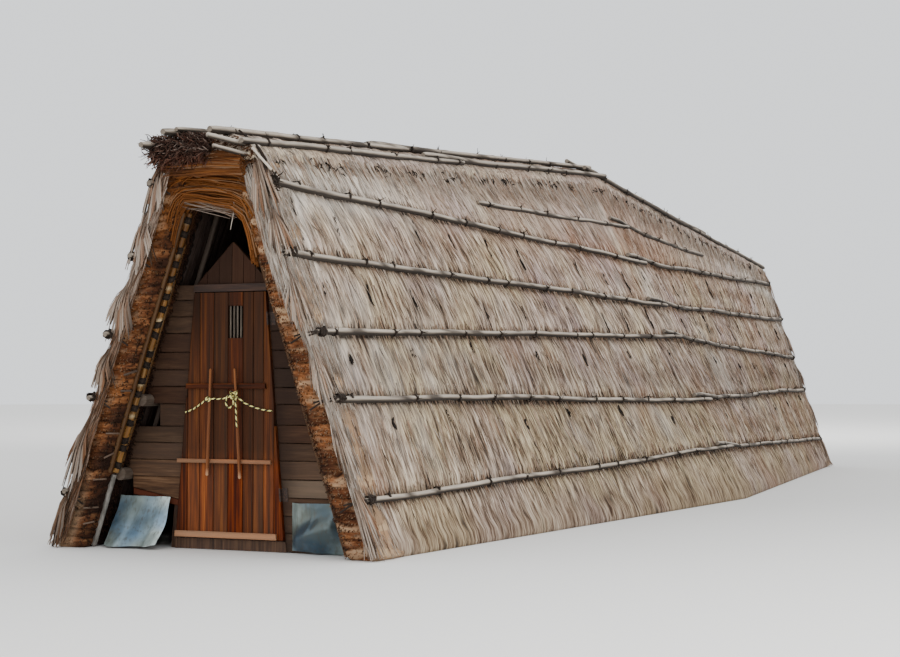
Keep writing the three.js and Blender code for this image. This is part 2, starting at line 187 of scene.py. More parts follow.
def blades(base, tip, radius, tone, rng, toneTip=None):
    # long thin pyramids: a triangle at the base and one point at the tip
    number = len(base)
    along = unit(tip - base)
    aside = unit(np.cross(along, rng.normal(size=(number, 3))))
    ring = circle(turns(3)[None, :, None], aside[:, None], np.cross(along, aside)[:, None])
    foot = base[:, None] + spread(radius, number)[:, None, None] * ring
    points = np.concatenate([foot, tip[:, None]], axis=1)
    points[..., 2] = np.maximum(points[..., 2], ground)
    length, ids = np.linalg.norm(tip - base, axis=1)[:, None], rng.random(number)[:, None]
    far = np.array([0, 0, 0, 1.0])
    flow = stack(ids * 7 + 0 * far, length * far, ids)
    tones = [spread(values, number, 3)[:, None] for values in (tone, tone if toneTip is None else toneTip)]
    corners = np.array([[0, 1, 3], [1, 2, 3], [2, 0, 3], [2, 1, 0]])
    faces = (corners[None] + (np.arange(number) * 4)[:, None, None]).reshape(-1, 3)
    return {"points": points.reshape(-1, 3), "flow": flow.reshape(-1, 3),
            "tone": mix(*tones, far[None, :, None]).reshape(-1, 3), "faces": [faces]}


def stalks(base, tip, radius, rng, tone=0, profile=(1, 0.35), count=3, bow=0, toneTip=None):
    # each stalk runs base + (tip - base) t + 4 bow t (1 - t); its section is a small polygon, scaled by
    # the profile
    number = len(base)
    base, tip, bow = (spread(values, number, 3)[:, None] for values in (base, tip, bow))
    t = np.linspace(0, 1, len(profile))[None, :, None]
    centre = mix(base, tip, t) + 4 * bow * t * (1 - t)
    along = unit(tip - base + 4 * bow * (1 - 2 * t))
    aside = unit(np.cross(along, unit(rng.normal(size=(number, 1, 3)))))
    angle = turns(count)[None, None, :, None]
    size = spread(radius, number)[:, None, None, None] * np.asarray(profile)[None, :, None, None]
    points = centre[:, :, None] + size * circle(angle, aside[:, :, None], np.cross(along, aside)[:, :, None])
    points[..., 2] = np.maximum(points[..., 2], ground)
    length, ids = np.linalg.norm(tip - base, axis=2)[:, None], rng.random(number)[:, None, None]
    flow = stack(ids * 7 + angle[..., 0] * 0.01, t * length, ids)
    tone = spread(tone, number, 3)[:, None, None]
    if toneTip is not None:
        tone = mix(tone, spread(toneTip, number, 3)[:, None, None], t[..., None])
    return shell(points, flow, tone)


def sweep(path, count, up, sizeOf, flowOf, tone=0, closed=False):
    # a ring of points square to the path at each of its points. sizeOf and flowOf give the distance from
    # the path and the flow by angle and metres walked
    ahead, behind = np.roll(path, -1, axis=0), np.roll(path, 1, axis=0)
    along = unit(ahead - behind if closed else np.gradient(path, axis=0))
    aside = unit(np.cross(spread(up, *path.shape), along))
    angle, walked = turns(count)[None], walkedAlong(path)[:, None]
    ring = circle(angle[..., None], aside[:, None], np.cross(along, aside)[:, None])
    points = path[:, None] + sizeOf(angle, walked)[..., None] * ring
    return shell(points[None], flowOf(angle, walked)[None], tone, closed)


def tube(centre, radius, count, tone=0, identity=0.0, up=(0, 0, 1), wobble=0.0):
    # a round section of the given radius at each centre, dented by angle with wobble
    def size(angle, walked):
        dent = noise(np.cos(angle) * 1.5 + walked * 7, np.sin(angle) * 1.5 + identity * 50, 5)
        return spread(radius, len(centre))[:, None] * (1 + wobble * dent)

    return sweep(centre, count, up, size, lambda angle, walked: stack(angle * 0.04, walked, identity), tone)


# A board's section with chamfered corners: shares from front to back and from low to high, and the steps
# inward
boardSection = np.array([
    [0, 0, 1, 1, 1, 1, 0, 0],
    [0, 0, 0, 0, 1, 1, 1, 1],
    [1, 0, 0, -1, -1, 0, 0, 1],
    [0, 1, 1, 0, 0, -1, -1, 0.0],
])[:, None]


def board(low, high, front, back, place, identity, tone, stations=8, warp=0.0015, trim=0.003):
    # the section between heights low and high and depths front and back, carried along t from 0 to 1;
    # place(t, z) gives the point's x in the gable
    depth, level, inDepth, inLevel = boardSection
    t = np.linspace(0, 1, stations)[:, None]
    low, high = (spread(height, stations)[:, None] for height in (low, high))
    z = mix(low, high, level) + inLevel * trim + warp * noise(t * 3 + identity * 31, level * 2, 11)
    bend = warp * 2 * noise(t * 2 + identity * 17, level, 12)
    y = mix(front, back, depth) + inDepth * trim * np.sign(back - front) + bend
    flow = stack(z + identity * 5, t + identity * 3, identity)
    return shell(stack(place(t + 0 * z, z), y, z)[None], flow[None], tone)


def addObject(name, data):
    item = bpy.data.objects.new(name, data)
    bpy.context.scene.collection.objects.link(item)
    return item


def makePiece(name, shells, material, body="hut", replaces=(), sharp=None):
    mesh = bpy.data.meshes.new(name)
    offset, corners, sizes = 0, [], []
    for part in shells:
        for faces in part["faces"]:
            corners.append((faces + offset).ravel())
            sizes.append(np.full(len(faces), faces.shape[1]))
        offset += len(part["points"])
    corners, sizes = (np.concatenate(values).astype(np.int32) for values in (corners, sizes))
    points, flow, tone = (np.concatenate([part[key] for part in shells]).astype(np.float32).ravel()
                          for key in ("points", "flow", "tone"))
    mesh.vertices.add(offset)
    mesh.vertices.foreach_set("co", points)
    mesh.loops.add(len(corners))
    mesh.loops.foreach_set("vertex_index", corners)
    mesh.polygons.add(len(sizes))
    mesh.polygons.foreach_set("loop_start", (np.cumsum(sizes) - sizes).astype(np.int32))
    mesh.polygons.foreach_set("use_smooth", np.full(len(sizes), True))
    for key, values in (("flow", flow), ("tone", tone)):
        mesh.attributes.new(key, "FLOAT_VECTOR", "POINT").data.foreach_set("vector", values)
    mesh.update(calc_edges=True)
    mesh.validate()
    if sharp is not None:
        mesh.set_sharp_from_angle(angle=np.radians(sharp))
    mesh.materials.append(material)
    piece = addObject(name, mesh)
    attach(piece, body)
    if replaces:
        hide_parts(*replaces)
    print(f"{name}: {int((sizes - 2).sum())} triangles")
    return piece


# Materials

def linear(colour):
    # sRGB hex to linear red, green, blue and 1
    parts = [int(colour[k:k + 2], 16) / 255 for k in (1, 3, 5)]
    return [p / 12.92 if p <= 0.04045 else ((p + 0.055) / 1.055) ** 2.4 for p in parts] + [1.0]


def addNode(tree, kind, settings=None, links=None):
    # a new node, or one that is there, with its properties, input values, ramp stops and incoming links
    node = tree.nodes.new("ShaderNode" + kind) if isinstance(kind, str) else kind
    for key, value in (settings or {}).items():
        if key == "stops":
            ramp = node.color_ramp.elements
            while len(ramp) < len(value):
                ramp.new(1)
            for element, (position, colour) in zip(ramp, value):
                element.position = position
                element.color = linear(colour) if isinstance(colour, str) else [colour] * 3 + [1]
        elif isinstance(key, int) or key in node.inputs:
            node.inputs[key].default_value = linear(value) if isinstance(value, str) else value
        else:
            setattr(node, key, value)
    for key, (source, output) in (links or {}).items():
        tree.links.new(source.outputs[output], node.inputs[key])
    return node


def newMaterial(name, settings):
    material = bpy.data.materials.new(name)
    material.use_nodes = True
    tree = material.node_tree
    return material, tree, addNode(tree, tree.nodes["Principled BSDF"], settings)


plain = [(0.0, "#ffffff"), (1.0, "#ffffff")]
multiply = {"data_type": "RGBA", "blend_type": "MULTIPLY"}


def fibrous(name, stops, scales, bumps, dark, rust, pale, idStops=plain, idShare=0.0, roughness=0.92,
            gloss=0.25):
    # straw and wood that follows the flow attribute: metres across, metres along and a random id, with the
    # tone attribute's three shares of dark, rust and pale laid over it. scales are repeats per metre across
    # and along and the noise's detail, coarse grain last; bumps are strength and distance
    material, tree, shader = newMaterial(name, {"Roughness": roughness, "Specular IOR Level": gloss})
    flow = addNode(tree, "Attribute", {"attribute_name": "flow"})
    tone = addNode(tree, "Attribute", {"attribute_name": "tone"})
    tones = addNode(tree, "SeparateXYZ", {}, {0: (tone, "Vector")})
    parts = addNode(tree, "SeparateXYZ", {}, {0: (flow, "Vector")})
    heights = []
    for across, along, detail in scales:
        place = addNode(tree, "Mapping", {"Scale": (across, along, 9.0)}, {"Vector": (flow, "Vector")})
        grain = {"Scale": 1.0, "Detail": detail, "Roughness": 0.6}
        heights.append(addNode(tree, "TexNoise", grain, {"Vector": (place, "Vector")}))
    streak = addNode(tree, "Mix", {"data_type": "FLOAT", 0: 0.5},
                     {2: (heights[0], "Fac"), 3: (heights[1], "Fac")})
    colour = addNode(tree, "ValToRGB", {"stops": stops}, {0: (streak, 0)})
    own = addNode(tree, "ValToRGB", {"stops": idStops}, {0: (parts, "Z")})
    layer = addNode(tree, "Mix", {**multiply, 0: idShare}, {6: (colour, 0), 7: (own, 0)})
    for output, shade in (("Y", rust), ("Z", pale), ("X", dark)):
        layer = addNode(tree, "Mix", {"data_type": "RGBA", 7: shade}, {0: (tones, output), 6: (layer, 2)})
    over = {}
    for height, (strength, distance) in zip(heights, bumps):
        bump = addNode(tree, "Bump", {"Strength": strength, "Distance": distance},
                       {"Height": (height, "Fac"), **over})
        over = {"Normal": (bump, "Normal")}
    addNode(tree, shader, {}, {"Base Color": (layer, 2), **over})
    return material


# Weathered straw thatch: grey and pinkish beige, bleached on top, with painted shade between the stalks.
# Straws are 4 mm thick; the streaks are drawn as tufts of them, 13 and 45 mm wide
thatchStraw = fibrous(
    "weatheredStraw",
    [(0.36, "#2e2219"), (0.44, "#7b695a"), (0.51, "#bba897"), (0.58, "#e2d1bf"), (0.67, "#fff2e1")],
    [(64.0, 5.0, 4.0), (27.0, 2.4, 3.0)], [(0.9, 0.012), (0.7, 0.018)], "#291e17", "#9c6e50", "#efe6da",
    [(0.01, "#f8f3d6"), (0.05, "#fffaf4"), (0.09, "#ebe0ee"), (0.3, "#ebe0ee")], 0.85)
# Loose stalks of the same straw: each has a shade of its own
looseStraw = fibrous(
    "looseStraw", [(0.35, "#b2a08f"), (0.65, "#e2d2c1")],
    [(9.0, 6.0, 2.0), (3.0, 2.0, 1.0)], [(0.3, 0.003), (0.2, 0.003)], "#2a1f18", "#8f5c36", "#efe6da",
    [(0.0, "#3a2c22"), (0.18, "#6f5a4a"), (0.3, "#b8a290"), (0.48, "#f6e9dc"), (0.6, "#d9b99e"),
     (0.74, "#f4ddd0"), (0.86, "#ffffff"), (1.0, "#ffffff")], 0.92)
# Packed straw ends of the verge: red-brown and orange where the weather hasn't bleached them
packedStraw = fibrous(
    "packedStrawEnds", [(0.32, "#38200f"), (0.5, "#83583b"), (0.68, "#c09870")],
    [(85.0, 16.0, 3.0), (26.0, 6.0, 2.0)], [(0.8, 0.009), (0.5, 0.012)], "#1b0c05", "#9c5c22", "#c6a886",
    [(0.0, "#5a3a26"), (0.3, "#a87e5c"), (0.6, "#ffdcb8"), (0.85, "#ffe9d2"), (1.0, "#ffffff")], 0.8)
# Old straw of the ridge clump: damp and nearly rotted, purplish brown
oldStraw = fibrous(
    "oldStrawClump", [(0.35, "#523b30"), (0.65, "#9a7d6e")],
    [(20.0, 5.0, 3.0), (8.0, 3.0, 2.0)], [(0.6, 0.008), (0.4, 0.01)], "#150c08", "#6b3116", "#a8978b",
    [(0.0, "#4a352a"), (0.4, "#a88c7c"), (0.75, "#ffffff"), (1.0, "#ffffff")], 0.85)
# Barked poles, weathered silver grey with knots; the tone attribute paints shade on their undersides and a
# highlight on top
poleWood = fibrous(
    "weatheredPole", [(0.33, "#5f5147"), (0.5, "#a1907f"), (0.66, "#d3c2ad")],
    [(60.0, 5.0, 4.0), (14.0, 1.4, 3.0)], [(0.5, 0.004), (0.3, 0.006)], "#1c1510", "#6f5442", "#eadfce",
    roughness=0.75)
# Straw rope and bark ties, nearly black with damp
tieCord = fibrous(
    "darkStrawTie", [(0.35, "#17120e"), (0.65, "#3d3129")],
    [(150.0, 60.0, 2.0), (60.0, 30.0, 2.0)], [(0.5, 0.002), (0.3, 0.002)], "#120d0a", "#3a2a1e", "#7b6d60")
# Sawn cedar of the side walls, grey-brown with open grain
wallWood = fibrous(
    "weatheredCedarPlank", [(0.33, "#24160b"), (0.5, "#543b26"), (0.68, "#80644a")],
    [(90.0, 2.2, 5.0), (18.0, 0.7, 3.0)], [(0.5, 0.003), (0.3, 0.004)], "#1f0f06", "#5c2a14", "#b09a84",
    [(0.0, "#b39a86"), (0.5, "#ffffff"), (1.0, "#e8c4a8")], 0.75, roughness=0.8)
# Red cedar of the door, rich red-brown below and dull above
doorWood = fibrous(
    "redCedarBoard", [(0.36, "#160501"), (0.45, "#522007"), (0.54, "#823e10"), (0.66, "#c4782f")],
    [(55.0, 1.3, 5.0), (19.0, 0.6, 3.0)], [(0.4, 0.002), (0.25, 0.003)], "#21140c", "#4a3220", "#c99c78",
    [(0.0, "#8a6a58"), (0.4, "#ffffff"), (0.7, "#d6ab88"), (1.0, "#fff0e0")], 0.8, roughness=0.66, gloss=0.12)
# Bamboo culm: hard shiny skin gone tan and brown, with pale rings at the nodes
bambooSkin = fibrous(
    "agedBamboo", [(0.35, "#4a2e12"), (0.5, "#8a6230"), (0.66, "#bd9558")],
    [(70.0, 2.0, 3.0), (20.0, 1.0, 2.0)], [(0.25, 0.002), (0.2, 0.003)], "#160d07", "#7a4418", "#e2cda2",
    roughness=0.45)


def galvanised(name):
    # Galvanised steel sheet gone dull and grey, with soft patches 0.4 m wide that are partly stains and
    # partly painted sheen, a painted sky reflection from white to blue, and drips drawn down it
    material, tree, shader = newMaterial(name, {"Metallic": 0.5})
    spot = addNode(tree, "TexCoord")
    cloud = addNode(tree, "TexNoise", {"Scale": 2.4, "Detail": 4.0}, {"Vector": (spot, "Object")})
    place = addNode(tree, "Mapping", {"Scale": (14.0, 14.0, 2.0)}, {"Vector": (spot, "Object")})
    drips = addNode(tree, "TexNoise", {"Scale": 3.0, "Detail": 4.0}, {"Vector": (place, "Vector")})
    wide = addNode(tree, "TexNoise", {"Scale": 2.6, "Detail": 1.0}, {"Vector": (spot, "Object")})
    # the cloud ramp is partly stains and partly painted sheen; the wide ramp is a painted reflection of the
    # sky, from white to blue
    ramps = ((cloud, [(0.34, "#6a716e"), (0.5, "#a4b0b1"), (0.66, "#dde7e8")]),
             (drips, [(0.52, 0.0), (0.72, 0.6)]),
             (wide, [(0.42, "#fbfff6"), (0.60, "#84b2de")]))
    tint, dirt, paintedSkyReflection = (addNode(tree, "ValToRGB", {"stops": stops}, {0: (source, "Fac")})
                        for source, stops in ramps)
    tintAndReflection = addNode(tree, "Mix", {**multiply, 0: 0.8}, {6: (tint, 0), 7: (paintedSkyReflection, 0)})
    both = addNode(tree, "Mix", {"data_type": "RGBA", 7: "#5d574a"}, {0: (dirt, 0), 6: (tintAndReflection, 2)})
    rough = addNode(tree, "MapRange", {3: 0.3, 4: 0.55}, {0: (cloud, "Fac")})
    bump = addNode(tree, "Bump", {"Strength": 0.25, "Distance": 0.01}, {"Height": (cloud, "Fac")})
    addNode(tree, shader, {}, {"Base Color": (both, 2), "Roughness": (rough, 0), "Normal": (bump, "Normal")})
    return material


def objectWood(name, dark, middle, light, along, roughness):
    # Sawn or round timber of the frame: grain drawn out along one axis of the object's own coordinates
    material, tree, shader = newMaterial(name, {"Roughness": roughness})
    spot = addNode(tree, "TexCoord")
    place = addNode(tree, "Mapping", {"Scale": along}, {"Vector": (spot, "Object")})
    grain = addNode(tree, "TexNoise", {"Scale": 1.0, "Detail": 5.0, "Roughness": 0.6},
                    {"Vector": (place, "Vector")})
    tint = addNode(tree, "ValToRGB", {"stops": [(0.32, dark), (0.5, middle), (0.7, light)]},
                   {0: (grain, "Fac")})
    bump = addNode(tree, "Bump", {"Strength": 0.4, "Distance": 0.003}, {"Height": (grain, "Fac")})
    addNode(tree, shader, {}, {"Base Color": (tint, 0), "Normal": (bump, "Normal")})
    return material


def twistedRope(name):
    # Three-strand polypropylene rope, yellow and black, laid so that the colours turn round it
    material, tree, shader = newMaterial(name, {"Roughness": 0.6})
    flow = addNode(tree, "Attribute", {"attribute_name": "flow"})
    parts = addNode(tree, "SeparateXYZ", {}, {0: (flow, "Vector")})
    stops = [(0.30, "#1c190f"), (0.42, "#d8c95e"), (1.0, "#f0e694")]
    tint = addNode(tree, "ValToRGB", {"stops": stops}, {0: (parts, "Z")})
    fuzz = addNode(tree, "TexNoise", {"Scale": 900.0}, {"Vector": (flow, "Vector")})
    bump = addNode(tree, "Bump", {"Strength": 0.3, "Distance": 0.001}, {"Height": (fuzz, "Fac")})
    addNode(tree, shader, {}, {"Base Color": (tint, 0), "Normal": (bump, "Normal")})
    return material


zinc = galvanised("galvanisedSheet")
logWood = objectWood("roundLog", "#241a12", "#4a3b2e", "#6f5e4d", (30.0, 2.0, 30.0), 0.85)
postWood = objectWood("cedarPost", "#2a1a10", "#4d3524", "#6b4d38", (40.0, 40.0, 2.0), 0.8)
lintelWood = objectWood("darkCedarLintel", "#1a0e07", "#352014", "#4f3322", (2.0, 40.0, 40.0), 0.75)
ironDark = objectWood("rustedIron", "#17110e", "#33241c", "#5a3b28", (60.0, 60.0, 60.0), 0.7)
pipeGrey = objectWood("dirtyGreyPipe", "#5f5a52", "#86817a", "#a5a096", (25.0, 25.0, 6.0), 0.5)
ropeSkin = twistedRope("twistedRope")
print("materials ready")


# Camera, light and floor: the photograph's standpoint, turned so that the whole hut is in the frame

stageFacts = {
    "camera": {"place": (7.66, -20.63, 1.41), "turn": 24.2, "pitch": 1.75, "lens": 69.5},
    "lamps": {  # place, size and power
        "key": ((15.0, -11.0, 18.0), 13.0, 10500.0),
        "fill": ((-16.0, -16.0, 9.0), 12.0, 900.0),
        "back": ((-6.0, 20.0, 15.0), 12.0, 3500.0),
    },
    "aim": (0.0, 0.0, 1.5),
    "sky": {"Color": "#f2f5f8", "Strength": 1.45},
    "floor": {"Base Color": "#f0eeea", "Roughness": 0.9},
    "floorRadius": 90,
    "floorCorners": 96,
}


def addStage():
    facts = stageFacts["camera"]
    data = bpy.data.cameras.new("camera")
    data.lens = facts["lens"]
    data.sensor_width = 36.0
    data.clip_end = 300
    camera = addObject("camera", data)
    camera.location = facts["place"]
    camera.rotation_euler = (np.radians(90 + facts["pitch"]), 0, np.radians(facts["turn"]))
    bpy.context.scene.camera = camera
    world = bpy.data.worlds.new("sky")
    bpy.context.scene.world = world
    world.use_nodes = True
    addNode(world.node_tree, world.node_tree.nodes["Background"], stageFacts["sky"])
    for name, (place, size, power) in stageFacts["lamps"].items():
        data = bpy.data.lights.new(name, "AREA")
        data.size = size
        data.energy = power
        lamp = addObject(name, data)
        lamp.location = place
        aim = unit(np.array(stageFacts["aim"]) - np.array(place))
        lamp.rotation_euler = (np.arccos(-aim[2]), 0, np.arctan2(aim[0], -aim[1]))
    # a disc at z = 0, less 2 mm
    angle, radius = turns(stageFacts["floorCorners"]), stageFacts["floorRadius"]
    mesh = bpy.data.meshes.new("floor")
    mesh.from_pydata(stack(radius * np.cos(angle), radius * np.sin(angle), -0.002).tolist(), [],
                     [list(range(len(angle)))])
    mesh.materials.append(newMaterial("paleFloor", stageFacts["floor"])[0])
    floor = addObject("floor", mesh)


addStage()
print("stage set")


# Rope across the door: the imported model's route, in metres

ropeFacts = {
    "radius": 0.007,
    "lay": 0.055,
    "sides": 12,
    "route": [  # x, height, and the share of the way out from the leaf to over the rods
        (-0.424, 1.150, 0.0),
        (-0.340, 1.178, 0.3),
        (-0.251, 1.222, 0.72),
        (-0.169, 1.262, 1.0),
        (-0.041, 1.266, 0.92),
        (0.087, 1.288, 1.0),
        (0.188, 1.226, 0.72),
        (0.308, 1.183, 0.3),
        (0.422, 1.165, 0.0),
    ],
    "tail": ((0.094, 1.2747), (0.108, 1.0247)),
    "knot": (0.087, 1.300),
}
leaf = {"bottom": 0.1, "top": 2.16, "halfBottom": 0.525, "halfTop": 0.35, "front": -8.1, "thickness": 0.036}
rodFacts = {
    "radius": 0.013,
    "line": leaf["front"] - 0.022 - 0.013 - clearance,
    "left": ((-0.192, 0.62), (-0.160, 1.52)),
    "right": ((0.126, 0.60), (0.074, 1.52)),
}


def leafEdge(z):
    share = (z - leaf["bottom"]) / (leaf["top"] - leaf["bottom"])
    return mix(leaf["halfBottom"], leaf["halfTop"], share)


def smoothPath(points, steps):
    # Catmull-Rom through the points: each stretch is the cubic fixed by its four nearest points
    ring = np.concatenate([2 * points[:1] - points[1:2], points, 2 * points[-1:] - points[-2:-1]])
    s = np.linspace(0, len(points) - 1, steps)
    k = np.minimum(s.astype(int), len(points) - 2)
    t = (s - k)[:, None]
    a, b, c, d = (ring[k + i] for i in range(4))
    return 0.5 * (2 * b + (c - a) * t + (2 * a - 5 * b + 4 * c - d) * t ** 2
                  + (3 * b - a - 3 * c + d) * t ** 3)


def ropeShell(path, closed=False):
    # a three-lobed section that turns once a lay length; the id of each point says which strand it is on
    def turn(angle, walked):
        return angle + 2 * np.pi * walked / ropeFacts["lay"]

    def size(angle, walked):
        return ropeFacts["radius"] * (0.86 + 0.14 * np.abs(np.cos(1.5 * turn(angle, walked))))

    def flow(angle, walked):
        return stack(angle * 0.007, walked, np.mod(turn(angle, walked), 2 * np.pi) >= np.pi)

    return sweep(path, ropeFacts["sides"], (0, 1, 0.2), size, flow, closed=closed)


def pathLength(path):
    return float(walkedAlong(path)[-1])


def knotPath(centre, size, steps):
    # a trefoil: (sin t + 2 sin 2t, cos t - 2 cos 2t) / 3 in the door's plane and -sin 3t / 3 out of it
    t = turns(steps)
    x, z = (np.sin(t) + 2 * np.sin(2 * t)) / 3, (np.cos(t) - 2 * np.cos(2 * t)) / 3
    return centre + size * stack(x, -0.45 * np.sin(3 * t) - 0.35, z)


def loopPath(centre, wide, high, steps):
    # an ellipse in the door's plane that swings a little out of it
    t = turns(steps)
    return centre + stack(wide * np.cos(t), -0.006 + 0.004 * np.sin(t), high * np.sin(t))


def addRope():
    reach = ropeFacts["radius"] + clearance
    onLeaf, overRod = leaf["front"] - reach, rodFacts["line"] - rodFacts["radius"] - reach
    x, z, out = np.array(ropeFacts["route"]).T
    path = smoothPath(stack(x, mix(onLeaf, overRod, out), z), 170)
    rope = makePiece("rope_across", [ropeShell(path)], ropeSkin, "door", ["door_rope"])
    knot, leftRod = (np.array([x, overRod, z]) for x, z in (ropeFacts["knot"], ropeFacts["route"][3][:2]))
    loops = (knotPath(knot, 0.038, 70), loopPath(knot + np.array([-0.045, 0.0, -0.055]), 0.036, 0.052, 48),
             loopPath(leftRod, 0.020, 0.017, 26))
    knots = makePiece("rope_knots", [ropeShell(loop, True) for loop in loops], ropeSkin, "door")
    pathLength(path)
    (topX, topZ), (lowX, lowZ) = ropeFacts["tail"]
    share = np.linspace(0, 1, 60)
    drop = stack(mix(topX, lowX, share), overRod, mix(topZ, lowZ, share))
    tail = makePiece("rope_tail", [ropeShell(drop)], ropeSkin, "door", ["door_rope_tail"])
    pathLength(drop)


addRope()


# Poles: heights at verge and crease, radius, and where each begins, all in metres

flankPoles = {
    "foot": (0.46, 0.60, 0.026, 0.06),
    "low": (1.27, 1.18, 0.028, 0.05),
    "middle": (1.80, 1.95, 0.028, 0.07),
    "high": (2.45, 2.35, 0.030, 0.06),
    "upper": (3.05, 2.90, 0.030, 0.11),
    "short": (3.14, 3.35, 0.026, 4.2),
}
ridgePoles = {  # degrees round the cap, radius, reach past the verge
    "right_shoulder": (32.727, 0.031, 0.18),
    "right_crown": (65.455, 0.033, 0.33),
    "left_crown": (114.545, 0.033, 0.43),
    "left_shoulder": (147.273, 0.031, 0.43),
}
poleFacts = {"step": 0.11, "sides": 9, "wave": 0.016, "knotEvery": 0.62, "pastCrease": 0.34, "edgeCords": 20}
tieFacts = {"every": 0.80, "jitter": 0.40, "width": 0.042, "cord": 0.008, "stub": 0.050}
straight = ((-9, 9), (0, 0))


def flankLine(side, name, end):
    # gives at y the pole's centre, lying on the slope, and the two directions across it: out of the slope
    # and up it. Beyond the crease the line of its own half runs on straight
    z0, z1, radius, _ = flankPoles[name]

    def line(y):
        share = 1 - y * end / halfLength
        lean = np.arctan(slopeAt(share))
        out = stack(side * np.cos(lean), 0 * y, np.sin(lean))
        up = stack(-side * np.sin(lean), 0 * y, np.cos(lean))
        return flankPoint(side, y, mix(z0, z1, share), radius + clearance, share), out, up

    return line


def capLine(name, end):
    # the same for a pole on the cap: the ellipse's point at its angle, and the ellipse's normal
    degrees, radius, _ = ridgePoles[name]
    turn = np.radians(degrees)

    def line(y):
        share = 1 - y * end / halfLength
        rise = sizeAt("rise", share)
        out = unit(stack(np.cos(turn) / capHalf + 0 * y, 0 * y, np.sin(turn) / rise))
        seat = stack(capHalf * np.cos(turn), y, sizeAt("seat", share) + clearance + rise * np.sin(turn))
        return seat + out * (radius + clearance), out, stack(-out[..., 2], 0 * y, out[..., 0])

    return line


def polePart(line, start, stop, radius, rise, lift, seed, rng):
    # a barked pole from y = start to stop: it waves by slow noise, tapers, and swells at its knots. rise
    # moves it up the slope by y, and lift moves it out of it
    way = np.sign(stop - start)
    count = max(6, int(abs(stop - start) / poleFacts["step"]))
    y = np.concatenate([[start], np.linspace(start, stop, count)[1:-1], [stop]])
    y = np.insert(y, [1, count - 1], y[[0, -1]] + way * np.array([0.006, -0.006]))
    count = len(y)
    centre, out, up = line(y)
    atEnd = np.minimum(np.abs(y - start), np.abs(y - stop)) < 1e-6
    wave = poleFacts["wave"] * (noise(y / 1.5, seed, 21) + 0.45 * noise(y / 0.5, seed, 22))
    centre = centre + up * (wave + np.interp(y * way, *rise))[:, None]
    centre = centre + out * (0.004 * noise(y / 0.8, seed, 23) + lift)[:, None]
    size = radius * np.linspace(1.06, 0.86, count)
    for at in np.arange(min(start, stop) + 0.3, max(start, stop), poleFacts["knotEvery"]):
        size = size * (1 + 0.13 * hump(y, at + 0.2 * rng.random(), 0.06))
    size = size * np.where(atEnd, 0.90, 1.0) * (1 - 0.25 * ease(0.12 - np.abs(y - start), 0.0, 0.12))
    part = tube(centre, size, poleFacts["sides"], identity=seed * 0.37 % 1, wobble=0.05)
    # painted shade on the side that faces the ground and a painted highlight on the side that faces the sky,
    # with dark bark marks on the lit side
    facing = (part["points"].reshape(count, -1, 3) - centre[:, None])[..., 2] / size[:, None]
    bark = 0.65 * ease(noise(y[:, None] / 0.16, facing * 1.5 + seed, 24), 0.15, 0.6)
    paintedUnderShade = ease(-facing, -0.35, 0.25)
    low = np.clip(0.95 * paintedUnderShade + bark * (1 - paintedUnderShade) + 0.1, 0, 0.95)
    low[atEnd] = 0.55
    part["tone"] = stack(low, 0.25 * bark, 0.42 * (1 - low)).reshape(-1, 3)
    return part


def bands(centre, axis, out, radius, rng, stub=tieFacts["stub"], width=tieFacts["width"]):
    # ties: a ring of oval section wound round the pole, with a knot on top and two stubs
    number = len(centre)
    aside = np.cross(axis, out)
    angle, across = turns(7)[None, :, None, None], turns(4)[None, None, :, None]
    tilt = 0.25 * rng.normal(size=(number, 1, 1, 1))
    ring = radius * 1.02 + 0.5 * tieFacts["cord"] * (1 + np.cos(across))
    radial = circle(angle, out[:, None, None], aside[:, None, None])
    shift = 0.5 * width * np.sin(across) + tilt * radius * np.cos(angle)
    points = centre[:, None, None] + radial * ring + axis[:, None, None] * shift
    flow = stack(angle[..., 0] * 0.03, across[..., 0] * 0.006, np.zeros((number, 1, 1)))
    top = unit(circle(rng.uniform(-1.2, 1.2, number)[:, None], out, aside))
    seat = centre + top * (radius + 0.006)
    knots = stalks(seat - axis * 0.018, seat + axis * 0.018, 0.012, rng, 0, (0.4, 1, 0.4), 4, top * 0.004)
    roots, wild = np.repeat(seat, 2, axis=0), 0.5 * rng.normal(size=(2 * number, 3))
    wild = unit(np.repeat(top, 2, axis=0) * 0.5 + wild + np.array([0, 0, 0.5]))
    reach = stub * rng.uniform(0.5, 1.3, 2 * number)[:, None]
    return [shell(points, flow, wrapRows=True), knots,
            stalks(roots, roots + wild * reach, 0.004, rng, profile=(1, 0.7))]


def bandsAt(line, radius, at, rng, **sizes):
    centre, out, _ = line(at)
    axis = unit(line(at + 0.05)[0] - line(at - 0.05)[0])
    return bands(centre, axis, out, radius, rng, **sizes)


def tiesAlong(line, radius, start, stop, rng):
    at = np.arange(min(start, stop), max(start, stop), tieFacts["every"])
    return bandsAt(line, radius, at + tieFacts["jitter"] * (rng.random(len(at)) - 0.5), rng)


def edgeKnot(line, radius, start, end, rng):
    # at the verge the pole's end is bound over the straw's corner: a wad of cords, two of them round the
    # corner
    at = start - end * np.array([0.045, 0.075, 0.11])
    parts = bandsAt(line, radius + 0.004, at, rng, stub=0.018)
    (heart, wadHeart, _), (out, _, _), (up, _, _) = line(at)
    number = poleFacts["edgeCords"]
    wild = unit(rng.normal(size=(number, 3)) * np.array([0.7, 0.8, 1.0]) - up * 0.6)
    root = wadHeart + wild * (radius + 0.002)
    tip = root + wild * rng.uniform(0.008, 0.024, (number, 1))
    parts.append(stalks(root, tip, 0.0075, rng, (0, 0, 0.1), (1, 0.7)))
    bend = heart * np.array([1, 0, 1]) - out * radius + np.array([0, end * (halfLength + 0.05), 0])
    inward = -np.sign(heart[0]) * np.array([1.0, 0, 0])
    heart = heart + out * radius
    head = [bend, bend - up * 0.03, bend + inward * 0.17 - up * 0.09, bend + inward * 0.12 - up * 0.03]
    foot = [heart, heart, bend, bend]
    parts.append(stalks(np.stack(foot), np.stack(head), 0.008, rng, profile=(1, 1), count=5))
    return parts


